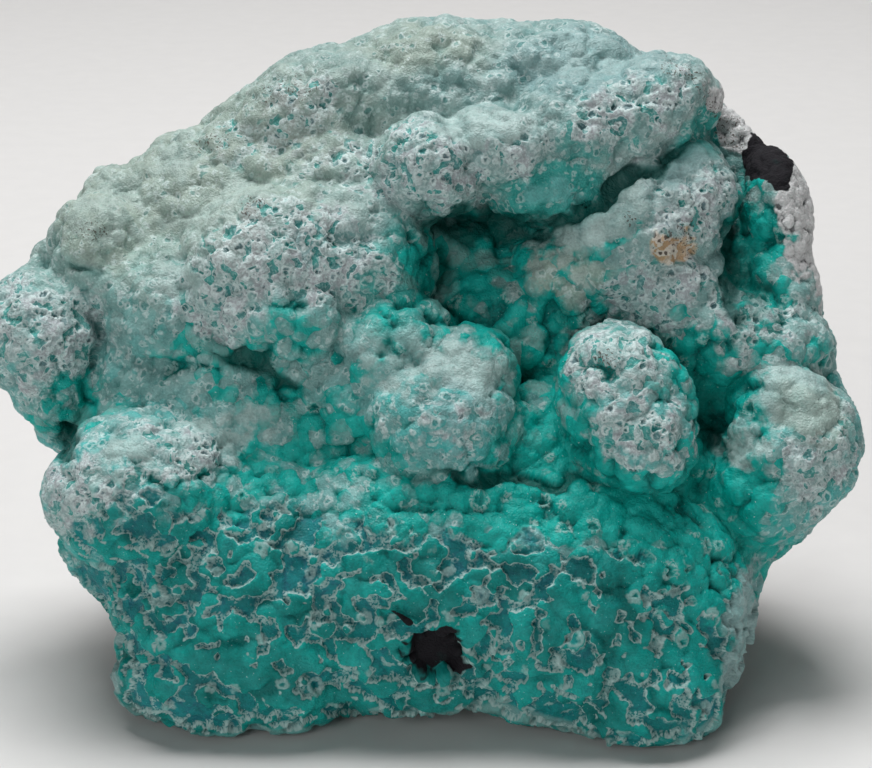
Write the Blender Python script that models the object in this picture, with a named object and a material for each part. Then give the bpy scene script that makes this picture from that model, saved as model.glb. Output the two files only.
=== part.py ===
"""A hand-sized specimen of botryoidal smithsonite that stands on its own broken base.

The mineral grew as rounded lobes, lobe on lobe, over a lump of host rock. It is one piece, so it is
one solid. Everything on its face is placed in the face frame: across to the right, up the face, and
out of it towards the viewer, all in millimetres. The face frame leans back from upright by
FACE_LEAN. The rock behind is placed upright: right, back and height above the floor.
"""

import math
from typing import NamedTuple

import bmesh
import bpy
from mathutils import Matrix, Vector

MM = 0.001

FACE_LEAN = math.radians(20)
CENTRE_SHIFT = Vector((1.15, -21.65, 0.0)) * MM

VOXEL = 0.5
SMOOTH_FACTOR = 0.5
SMOOTH_PASSES = 16
UNEVEN_SIZE = 3.6
UNEVEN_HEIGHT = 1.0
KEPT_SHARE = 0.05
LOBE_ROUNDNESS = 3

HOLLOW_CENTRE = (-0.1, 8.8, 5.4)
HOLLOW_HALF_SIZE = (2.8, 2.4, 3.0)
HOLLOW_ROUNDNESS = 2

FLOOR_BLOCK_WIDTH = 200.0
FLOOR_BLOCK_HEIGHT = 100.0

MINERAL_COLOUR = (0.14, 0.36, 0.33, 1.0)
MINERAL_ROUGHNESS = 0.45

# The lump's outline seen square to the face: across and up, clockwise from the left.
OUTLINE = [
    (-43, 39), (-42, 44), (-38, 48), (-33, 54), (-28, 56), (-23, 59), (-15, 66), (-6, 68),
    (2, 70), (13, 69), (22, 66), (30, 60), (35, 54), (37, 47), (37, 42), (39, 36),
    (41, 30), (41, 25), (36, 19), (32, 16), (30, 10), (28, 3), (20, -2), (12, 1),
    (5, 3), (-8, 1), (-24, 0), (-30, 3), (-31, 11), (-36, 16), (-37, 21), (-36, 26),
    (-41, 31),
]
OUTLINE_MIDDLE_UP = 33.0


class Ring(NamedTuple):
    """One copy of the outline: its size, how far out it lies at the foot, and its drop per mm up."""

    size: float
    out_at_foot: float
    drop: float


LUMP_RINGS = [
    Ring(0.60, 3.0, 0.32),
    Ring(0.80, 2.0, 0.29),
    Ring(0.92, -1.5, 0.22),
    Ring(0.98, -5.0, 0.15),
    Ring(1.00, -8.0, 0.12),
    Ring(0.99, -12.0, 0.10),
    Ring(0.95, -17.0, 0.05),
    Ring(0.84, -22.0, 0.0),
]

# The broken blocks of the rock behind, by their corners, upright: right, back, height.
ROCK_MAIN = [
    (-25, 42, 0), (-10, 44.5, 0), (14, 43.5, 0), (26, 40, 0), (30, 29, 0), (-29, 28, 0),
    (-34, 33, 24), (33.5, 33, 25), (-23, 38, 46), (-3, 40.5, 56), (20, 39, 51),
    (-24, 12, 3), (24, 11, 3), (-20, 28, 46), (20, 28, 48),
]
ROCK_LEFT = [
    (-29, 30, 0), (-26, 42, 0), (-8, 46.5, 0), (-5, 44.5, 19), (-14, 44, 31), (-27, 37.5, 33),
    (-34, 31, 24), (-18, 25, 10),
]
ROCK_RIGHT = [
    (4, 42.5, 0), (20, 45.5, 0), (28, 39, 0), (30.5, 30, 0), (33.5, 33, 19), (25, 41.5, 16),
    (8, 44.5, 12), (12, 25, 5),
]
ROCK_TOP = [
    (-9, 42, 29), (17, 43, 25), (24, 38.5, 44), (6, 41, 54), (-15, 38.5, 49), (0, 25, 40),
]


class Lobe(NamedTuple):
    """A rounded growth: its centre and half sizes in the face frame, and its roll in degrees."""

    name: str
    across: float
    up: float
    out: float
    wide: float
    tall: float
    deep: float
    roll: float = 0.0


LOBES = [
    Lobe("upper_left_ground", -19.5, 47.0, -13.5, 19.0, 12.4, 9.5, 25),
    Lobe("lower_left_ground", -15.5, 30.0, -8.5, 19.0, 11.0, 8.2),
    Lobe("right_ground", 26.5, 35.0, -16.0, 12.5, 16.0, 9.5),
    Lobe("valley_ground", 6.0, 25.0, -8.0, 22.0, 9.5, 8.0),
    Lobe("valley_middle", 7.0, 38.0, -12.0, 9.5, 8.0, 7.5),
    Lobe("cavity_floor", 3.0, 47.0, -17.5, 10.0, 8.0, 8.0),
    Lobe("top_ground", 1.0, 61.0, -15.5, 15.0, 7.6, 9.6, 5),
    Lobe("top_right_ground", 16.0, 60.2, -15.0, 11.5, 6.8, 10.0, -14),
    Lobe("nose_bulb", -0.6, 53.9, -6.0, 5.4, 5.0, 8.2, -8),
    Lobe("nose_root", 6.2, 55.6, -7.5, 6.8, 4.6, 8.0),
    Lobe("nose_lip", 11.0, 52.3, -7.5, 5.8, 3.6, 5.8, 12),
    Lobe("ridge_left", 13.4, 57.0, -9.5, 8.8, 6.8, 9.0, 24),
    Lobe("ridge_middle", 19.0, 59.0, -9.5, 8.8, 5.5, 8.2, 30),
    Lobe("ridge_right", 23.6, 59.6, -10.5, 4.8, 3.2, 6.2, 38),
    Lobe("dome_middle", 0.4, 63.7, -16.0, 10.0, 6.0, 9.5),
    Lobe("dome_crest", -7.0, 62.6, -16.0, 6.2, 4.8, 7.5),
    Lobe("dome_left", -11.4, 59.6, -15.0, 11.5, 6.8, 9.8, 24),
    Lobe("dome_shoulder", -18.6, 55.8, -16.0, 7.6, 5.6, 8.8, 38),
    Lobe("dome_right", 12.6, 63.4, -15.0, 9.5, 5.8, 8.8, -8),
    Lobe("dome_saddle", 6.5, 63.6, -17.5, 7.4, 5.6, 8.8),
    Lobe("shoulder_knob", -25.2, 54.0, -14.0, 4.0, 4.2, 6.0),
    Lobe("left_cap", -31.0, 50.8, -12.5, 4.0, 4.0, 5.4),
    Lobe("left_upper_knob", -32.4, 46.6, -9.5, 5.2, 5.4, 7.0),
    Lobe("left_upper_chin", -32.0, 42.8, -7.5, 4.2, 3.2, 5.0),
    Lobe("left_knob", -37.6, 38.2, -8.0, 5.8, 6.6, 7.5, 10),
    Lobe("left_knob_foot", -36.2, 33.4, -10.0, 4.8, 4.6, 6.5),
    Lobe("great_lobe", -15.3, 44.8, -6.0, 10.4, 7.8, 8.8, 20),
    Lobe("great_lobe_lip", -14.6, 40.2, -4.4, 7.8, 5.2, 7.6, -15),
    Lobe("great_lobe_crest", -7.6, 45.2, -7.5, 7.4, 8.6, 8.2),
    Lobe("saddle", -9.6, 52.0, -12.0, 9.0, 7.5, 8.8),
    Lobe("left_middle", -25.0, 40.4, -8.0, 7.4, 7.6, 8.0, 25),
    Lobe("left_middle_foot", -21.0, 35.0, -6.5, 6.0, 4.8, 5.8),
    Lobe("left_middle_edge", -28.4, 35.3, -9.5, 5.0, 5.5, 7.0),
    Lobe("lower_left_dome", -26.8, 23.4, -3.0, 10.0, 7.8, 9.0),
    Lobe("centre_lobe", 0.4, 29.9, -2.0, 7.4, 7.2, 7.6),
    Lobe("centre_lobe_shoulder", -3.9, 36.2, -4.0, 6.4, 6.2, 6.6),
    Lobe("centre_lobe_crest", 3.2, 34.6, -2.6, 4.6, 4.2, 5.6, -25),
    Lobe("centre_lobe_side", -7.6, 32.0, -6.0, 6.6, 7.5, 7.0),
    Lobe("right_lobe", 17.8, 31.0, -2.0, 6.3, 8.4, 8.6, 20),
    Lobe("right_lobe_crest", 16.6, 34.0, -1.5, 5.0, 5.0, 7.6, 15),
    Lobe("right_lobe_chin", 18.9, 28.4, -1.0, 5.2, 5.2, 8.2),
    Lobe("upper_right_lobe", 19.8, 48.4, -9.0, 10.4, 6.8, 7.8, 32),
    Lobe("upper_right_shoulder", 24.2, 51.2, -10.5, 4.6, 7.0, 7.4),
    Lobe("upper_right_lower", 22.0, 42.8, -9.5, 6.6, 6.4, 7.0),
    Lobe("upper_right_foot", 12.6, 43.4, -9.8, 5.6, 5.4, 6.4),
    Lobe("right_strip", 33.4, 49.4, -13.5, 3.4, 7.4, 7.0, 8),
    Lobe("right_strip_foot", 33.2, 41.6, -13.0, 4.6, 6.6, 6.8),
    Lobe("right_slope", 26.5, 38.2, -8.5, 5.4, 5.4, 5.6),
    Lobe("right_slope_edge", 32.2, 37.2, -10.5, 6.0, 5.8, 6.8),
    Lobe("right_knob_heart", 32.2, 27.0, -7.2, 5.6, 6.0, 7.2),
    Lobe("right_knob", 34.6, 27.2, -8.5, 6.2, 7.2, 8.6, -15),
    Lobe("right_knob_crest", 33.6, 30.8, -7.0, 6.0, 4.4, 6.4, -10),
    Lobe("right_knob_foot", 31.6, 23.2, -7.0, 6.2, 4.6, 6.6),
    Lobe("lower_face_left", -16.2, 13.6, -2.5, 13.8, 12.8, 7.6),
    Lobe("lower_face_middle", -1.5, 15.4, -2.0, 17.0, 12.8, 7.8),
    Lobe("lower_face_right", 13.0, 13.6, -2.0, 14.6, 12.4, 8.0),
    Lobe("lower_face_edge", 21.8, 11.8, -3.5, 7.8, 10.4, 7.2),
    Lobe("right_foot", 19.6, 5.0, -1.5, 7.4, 6.2, 6.4),
    Lobe("left_foot", -20.5, 6.0, -3.5, 9.8, 5.4, 7.0),
]


def upright_matrix():
    """From millimetres upright, as right, back and height, to the specimen's place in metres."""
    return Matrix.Translation(CENTRE_SHIFT) @ Matrix.Scale(MM, 4)


def face_matrix():
    """From the face frame, as across, up and out in millimetres, to the specimen's place in metres."""
    stand_up = Matrix.Rotation(math.radians(90) - FACE_LEAN, 4, "X")
    return upright_matrix() @ stand_up


def add_lump(shape):
    """The lump that carries the lobes: its rings run from the face to the back."""
    rings = []
    for ring in LUMP_RINGS:
        corners = []
        for across, up in OUTLINE:
            ring_up = OUTLINE_MIDDLE_UP + (up - OUTLINE_MIDDLE_UP) * ring.size
            out = ring.out_at_foot - ring.drop * ring_up
            corners.append(shape.verts.new((across * ring.size, ring_up, out)))
        rings.append(corners)
    count = len(OUTLINE)
    for front, back in zip(rings, rings[1:]):
        for i in range(count):
            j = (i + 1) % count
            shape.faces.new((front[i], back[i], back[j], front[j]))
    shape.faces.new(rings[0])
    shape.faces.new(reversed(rings[-1]))


def add_lobe(shape, lobe):
    """One rounded growth, as an ellipsoid."""
    place = Matrix.Translation((lobe.across, lobe.up, lobe.out))
    roll = Matrix.Rotation(math.radians(lobe.roll), 4, "Z")
    size = Matrix.Diagonal((lobe.wide, lobe.tall, lobe.deep, 1.0))
    bmesh.ops.create_icosphere(
        shape, subdivisions=LOBE_ROUNDNESS, radius=1.0, matrix=place @ roll @ size
    )


def add_rock(shape, corners):
    """One broken block of the rock behind: flat breaks between its corners."""
    points = [shape.verts.new(corner) for corner in corners]
    hull = bmesh.ops.convex_hull(shape, input=points)
    inside = [item for item in hull["geom_interior"] if isinstance(item, bmesh.types.BMVert)]
    bmesh.ops.delete(shape, geom=inside, context="VERTS")


def mesh_from(shape, name):
    """The finished mesh of a shape, with its faces turned outwards."""
    bmesh.ops.recalc_face_normals(shape, faces=shape.faces)
    mesh = bpy.data.meshes.new(name)
    shape.to_mesh(mesh)
    shape.free()
    return mesh


def specimen_mesh():
    """The rock, the lump and its lobes as overlapping closed shells, standing on the floor."""
    shape = bmesh.new()
    for corners in (ROCK_MAIN, ROCK_LEFT, ROCK_RIGHT, ROCK_TOP):
        add_rock(shape, corners)
    shape.transform(face_matrix().inverted() @ upright_matrix())
    add_lump(shape)
    for lobe in LOBES:
        add_lobe(shape, lobe)
    shape.transform(face_matrix())
    return mesh_from(shape, "smithsonite_specimen")


def add_object(name, mesh):
    """An object for the mesh, linked into the scene."""
    made = bpy.data.objects.new(name, mesh)
    bpy.context.scene.collection.objects.link(made)
    return made


def add_cutter(name, shape):
    """A helper shape that only takes material away."""
    cutter = add_object(name, mesh_from(shape, name))
    cutter.hide_render = True
    cutter.display_type = "WIRE"
    return cutter


def floor_cutter():
    """A block under the floor, which leaves the flat base."""
    shape = bmesh.new()
    bmesh.ops.create_cube(shape, size=1.0)
    size = Matrix.Diagonal((FLOOR_BLOCK_WIDTH, FLOOR_BLOCK_WIDTH, FLOOR_BLOCK_HEIGHT, 1.0))
    shape.transform(upright_matrix() @ Matrix.Translation((0, 0, -FLOOR_BLOCK_HEIGHT / 2)) @ size)
    return add_cutter("floor_cutter", shape)


def hollow_cutter():
    """The dark hollow in the lower face, as an ellipsoid to cut out."""
    shape = bmesh.new()
    size = Matrix.Diagonal((*HOLLOW_HALF_SIZE, 1.0))
    bmesh.ops.create_icosphere(shape, subdivisions=HOLLOW_ROUNDNESS, radius=1.0, matrix=size)
    shape.transform(face_matrix() @ Matrix.Translation(HOLLOW_CENTRE))
    return add_cutter("hollow_cutter", shape)


def add_cut(specimen, cutter):
    """Takes the cutter's shape out of the specimen."""
    cut = specimen.modifiers.new(cutter.name, "BOOLEAN")
    cut.operation = "DIFFERENCE"
    cut.solver = "EXACT"
    cut.object = cutter


def grow_together(specimen):
    """Joins the shells into one skin, softens the creases and makes the lobes uneven."""
    remesh = specimen.modifiers.new("join", "REMESH")
    remesh.mode = "VOXEL"
    remesh.voxel_size = VOXEL * MM
    remesh.use_smooth_shade = True
    smooth = specimen.modifiers.new("soften", "SMOOTH")
    smooth.factor = SMOOTH_FACTOR
    smooth.iterations = SMOOTH_PASSES
    clouds = bpy.data.textures.new("uneven", type="CLOUDS")
    clouds.noise_scale = UNEVEN_SIZE * MM
    displace = specimen.modifiers.new("uneven", "DISPLACE")
    displace.texture = clouds
    displace.strength = UNEVEN_HEIGHT * MM
    decimate = specimen.modifiers.new("fewer_faces", "DECIMATE")
    decimate.ratio = KEPT_SHARE


def mineral():
    """The mineral's material: a waxy blue-green."""
    material = bpy.data.materials.new("smithsonite")
    material.use_nodes = True
    shader = material.node_tree.nodes["Principled BSDF"]
    shader.inputs["Base Color"].default_value = MINERAL_COLOUR
    shader.inputs["Roughness"].default_value = MINERAL_ROUGHNESS
    return material


def main():
    """Builds the specimen."""
    for old in list(bpy.data.objects):
        bpy.data.objects.remove(old)
    specimen = add_object("smithsonite_specimen", specimen_mesh())
    specimen.data.materials.append(mineral())
    grow_together(specimen)
    add_cut(specimen, floor_cutter())
    add_cut(specimen, hollow_cutter())


if __name__ == "__main__":
    main()
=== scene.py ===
"""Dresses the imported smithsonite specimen: its crust, its druse, the host rock and the setting.

The mineral grew as rounded lobes, lobe on lobe, over a lump of host rock. Everything on its face is
placed in the face frame: across to the right, up the face, and out of it towards the viewer, all in
millimetres. The face frame leans back from upright. The rock behind is placed upright: right, back
and height above the floor. The crust's pits, rims and balls are laid once, as one set of nodes, and
both the shape and the finish read it, so that a pit's colour lies where the pit is.
"""

import logging
import math
from collections.abc import Callable
from dataclasses import dataclass, field
from enum import Enum
from typing import NamedTuple

import bmesh
import bpy
import numpy as np
from mathutils import Matrix, Vector
from mathutils.bvhtree import BVHTree
from mathutils.kdtree import KDTree

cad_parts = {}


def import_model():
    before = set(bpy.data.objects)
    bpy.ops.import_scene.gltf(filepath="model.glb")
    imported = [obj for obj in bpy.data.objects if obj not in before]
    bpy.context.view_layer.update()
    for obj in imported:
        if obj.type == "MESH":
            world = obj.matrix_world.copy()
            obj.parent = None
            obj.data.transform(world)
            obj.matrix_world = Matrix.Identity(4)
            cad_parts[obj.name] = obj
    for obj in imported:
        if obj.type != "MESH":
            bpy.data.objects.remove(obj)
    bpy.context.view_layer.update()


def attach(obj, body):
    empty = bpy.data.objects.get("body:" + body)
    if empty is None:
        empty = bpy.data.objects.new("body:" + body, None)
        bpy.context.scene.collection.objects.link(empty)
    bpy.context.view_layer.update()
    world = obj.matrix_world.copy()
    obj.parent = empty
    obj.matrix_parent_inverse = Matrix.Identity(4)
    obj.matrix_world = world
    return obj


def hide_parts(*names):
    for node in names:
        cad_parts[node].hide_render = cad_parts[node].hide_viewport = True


LOG = logging.getLogger("smithsonite")

MM = 0.001
BODY = "root"
NODE = "smithsonite_specimen"
SHARES = ("zones", "tints", "marks", "form", "trim")

Socket = bpy.types.NodeSocket
Value = float | Socket
Colour = tuple[float, float, float]
Corner = tuple[float, float, float]


class Zone(Enum):
    """What a patch of the crust carries: the mesh attribute that holds its share, and the column."""

    CRACKLE = ("zones", 0)
    DRUSE = ("zones", 1)
    ISLANDS = ("zones", 2)
    WARM = ("tints", 0)
    BLUE = ("tints", 1)
    SMOOTH = ("tints", 2)
    STAIN = ("marks", 0)
    MATRIX = ("marks", 1)
    BLACK = ("marks", 2)
    TEAL = ("form", 2)
    TAN = ("trim", 0)
    # crevices and lobe undersides, sunk a little and darkened with painted shade
    SHADED_CREVICE = ("trim", 2)


class Patch(NamedTuple):
    """A soft ellipse of one zone on the face: its middle, half sizes, roll and strength."""

    zone: Zone
    across: float
    up: float
    wide: float
    tall: float
    roll: float = 0.0
    strength: float = 1.0


class Ring(NamedTuple):
    """One copy of the outline: its size, how far out it lies at the foot, and its drop per mm up."""

    size: float
    out_at_foot: float
    drop: float


class Lamp(NamedTuple):
    """A soft light: where it hangs and what it faces, its width and height, and its watts."""

    name: str
    place: Corner
    target: Corner
    size: tuple[float, float]
    power: float


class Lobe(NamedTuple):
    """A rounded growth: its centre and half sizes in the face frame, and its roll in degrees."""

    name: str
    across: float
    up: float
    out: float
    wide: float
    tall: float
    deep: float
    roll: float = 0.0


OUTLINE = (
    (-43, 39), (-42, 44), (-38, 48), (-33, 54), (-28, 56), (-23, 59), (-15, 66), (-6, 68),
    (2, 70), (13, 69), (22, 66), (30, 60), (35, 54), (37, 47), (37, 42), (39, 36),
    (41, 30), (41, 25), (36, 19), (32, 16), (30, 10), (28, 3), (20, -2), (12, 1),
    (5, 3), (-8, 1), (-24, 0), (-30, 3), (-31, 11), (-36, 16), (-37, 21), (-36, 26),
    (-41, 31),
)
FOOT_OUTLINE = OUTLINE[21:28]

LUMP_RINGS = (
    Ring(0.60, 3.0, 0.32),
    Ring(0.80, 2.0, 0.29),
    Ring(0.92, -1.5, 0.22),
    Ring(0.98, -5.0, 0.15),
    Ring(1.00, -8.0, 0.12),
    Ring(0.99, -12.0, 0.10),
    Ring(0.95, -17.0, 0.05),
    Ring(0.84, -22.0, 0.0),
)

ROCK_BLOCKS = (
    (
        (-25, 42, 0), (-10, 44.5, 0), (14, 43.5, 0), (26, 40, 0), (30, 29, 0), (-29, 28, 0),
        (-34, 33, 24), (33.5, 33, 25), (-23, 38, 46), (-3, 40.5, 56), (20, 39, 51),
        (-24, 12, 3), (24, 11, 3), (-20, 28, 46), (20, 28, 48),
    ),
    (
        (-29, 30, 0), (-26, 42, 0), (-8, 46.5, 0), (-5, 44.5, 19), (-14, 44, 31),
        (-27, 37.5, 33), (-34, 31, 24), (-18, 25, 10),
    ),
    (
        (4, 42.5, 0), (20, 45.5, 0), (28, 39, 0), (30.5, 30, 0), (33.5, 33, 19), (25, 41.5, 16),
        (8, 44.5, 12), (12, 25, 5),
    ),
    ((-9, 42, 29), (17, 43, 25), (24, 38.5, 44), (6, 41, 54), (-15, 38.5, 49), (0, 25, 40)),
)

LOBES = (
    Lobe("upper_left_ground", -19.5, 47.0, -13.5, 19.0, 12.4, 9.5, 25),
    Lobe("lower_left_ground", -15.5, 30.0, -8.5, 19.0, 11.0, 8.2),
    Lobe("right_ground", 26.5, 35.0, -16.0, 12.5, 16.0, 9.5),
    Lobe("valley_ground", 6.0, 25.0, -8.0, 22.0, 9.5, 8.0),
    Lobe("valley_middle", 7.0, 38.0, -12.0, 9.5, 8.0, 7.5),
    Lobe("cavity_floor", 3.0, 47.0, -17.5, 10.0, 8.0, 8.0),
    Lobe("top_ground", 1.0, 61.0, -15.5, 15.0, 7.6, 9.6, 5),
    Lobe("top_right_ground", 16.0, 60.2, -15.0, 11.5, 6.8, 10.0, -14),
    Lobe("nose_bulb", -0.6, 53.9, -6.0, 5.4, 5.0, 8.2, -8),
    Lobe("nose_root", 6.2, 55.6, -7.5, 6.8, 4.6, 8.0),
    Lobe("nose_lip", 11.0, 52.3, -7.5, 5.8, 3.6, 5.8, 12),
    Lobe("ridge_left", 13.4, 57.0, -9.5, 8.8, 6.8, 9.0, 24),
    Lobe("ridge_middle", 19.0, 59.0, -9.5, 8.8, 5.5, 8.2, 30),
    Lobe("ridge_right", 23.6, 59.6, -10.5, 4.8, 3.2, 6.2, 38),
    Lobe("dome_middle", 0.4, 63.7, -16.0, 10.0, 6.0, 9.5),
    Lobe("dome_crest", -7.0, 62.6, -16.0, 6.2, 4.8, 7.5),
    Lobe("dome_left", -11.4, 59.6, -15.0, 11.5, 6.8, 9.8, 24),
    Lobe("dome_shoulder", -18.6, 55.8, -16.0, 7.6, 5.6, 8.8, 38),
    Lobe("dome_right", 12.6, 63.4, -15.0, 9.5, 5.8, 8.8, -8),
    Lobe("dome_saddle", 6.5, 63.6, -17.5, 7.4, 5.6, 8.8),
    Lobe("shoulder_knob", -25.2, 54.0, -14.0, 4.0, 4.2, 6.0),
    Lobe("left_cap", -31.0, 50.8, -12.5, 4.0, 4.0, 5.4),
    Lobe("left_upper_knob", -32.4, 46.6, -9.5, 5.2, 5.4, 7.0),
    Lobe("left_upper_chin", -32.0, 42.8, -7.5, 4.2, 3.2, 5.0),
    Lobe("left_knob", -37.6, 38.2, -8.0, 5.8, 6.6, 7.5, 10),
    Lobe("left_knob_foot", -36.2, 33.4, -10.0, 4.8, 4.6, 6.5),
    Lobe("great_lobe", -15.3, 44.8, -6.0, 10.4, 7.8, 8.8, 20),
    Lobe("great_lobe_lip", -14.6, 40.2, -4.4, 7.8, 5.2, 7.6, -15),
    Lobe("great_lobe_crest", -7.6, 45.2, -7.5, 7.4, 8.6, 8.2),
    Lobe("saddle", -9.6, 52.0, -12.0, 9.0, 7.5, 8.8),
    Lobe("left_middle", -25.0, 40.4, -8.0, 7.4, 7.6, 8.0, 25),
    Lobe("left_middle_foot", -21.0, 35.0, -6.5, 6.0, 4.8, 5.8),
    Lobe("left_middle_edge", -28.4, 35.3, -9.5, 5.0, 5.5, 7.0),
    Lobe("lower_left_dome", -26.8, 23.4, -3.0, 10.0, 7.8, 9.0),
    Lobe("centre_lobe", 0.4, 29.9, -2.0, 7.4, 7.2, 7.6),
    Lobe("centre_lobe_shoulder", -3.9, 36.2, -4.0, 6.4, 6.2, 6.6),
    Lobe("centre_lobe_crest", 3.2, 34.6, -2.6, 4.6, 4.2, 5.6, -25),
    Lobe("centre_lobe_side", -7.6, 32.0, -6.0, 6.6, 7.5, 7.0),
    Lobe("right_lobe", 17.8, 31.0, -2.0, 6.3, 8.4, 8.6, 20),
    Lobe("right_lobe_crest", 16.6, 34.0, -1.5, 5.0, 5.0, 7.6, 15),
    Lobe("right_lobe_chin", 18.9, 28.4, -1.0, 5.2, 5.2, 8.2),
    Lobe("upper_right_lobe", 19.8, 48.4, -9.0, 10.4, 6.8, 7.8, 32),
    Lobe("upper_right_shoulder", 24.2, 51.2, -10.5, 4.6, 7.0, 7.4),
    Lobe("upper_right_lower", 22.0, 42.8, -9.5, 6.6, 6.4, 7.0),
    Lobe("upper_right_foot", 12.6, 43.4, -9.8, 5.6, 5.4, 6.4),
    Lobe("right_strip", 33.4, 49.4, -13.5, 3.4, 7.4, 7.0, 8),
    Lobe("right_strip_foot", 33.2, 41.6, -13.0, 4.6, 6.6, 6.8),
    Lobe("right_slope", 26.5, 38.2, -8.5, 5.4, 5.4, 5.6),
    Lobe("right_slope_edge", 32.2, 37.2, -10.5, 6.0, 5.8, 6.8),
    Lobe("right_knob_heart", 32.2, 27.0, -7.2, 5.6, 6.0, 7.2),
    Lobe("right_knob", 34.6, 27.2, -8.5, 6.2, 7.2, 8.6, -15),
    Lobe("right_knob_crest", 33.6, 30.8, -7.0, 6.0, 4.4, 6.4, -10),
    Lobe("right_knob_foot", 31.6, 23.2, -7.0, 6.2, 4.6, 6.6),
    Lobe("lower_face_left", -16.2, 13.6, -2.5, 13.8, 12.8, 7.6),
    Lobe("lower_face_middle", -1.5, 15.4, -2.0, 17.0, 12.8, 7.8),
    Lobe("lower_face_right", 13.0, 13.6, -2.0, 14.6, 12.4, 8.0),
    Lobe("lower_face_edge", 21.8, 11.8, -3.5, 7.8, 10.4, 7.2),
    Lobe("right_foot", 19.6, 5.0, -1.5, 7.4, 6.2, 6.4),
    Lobe("left_foot", -20.5, 6.0, -3.5, 9.8, 5.4, 7.0),
)

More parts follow.
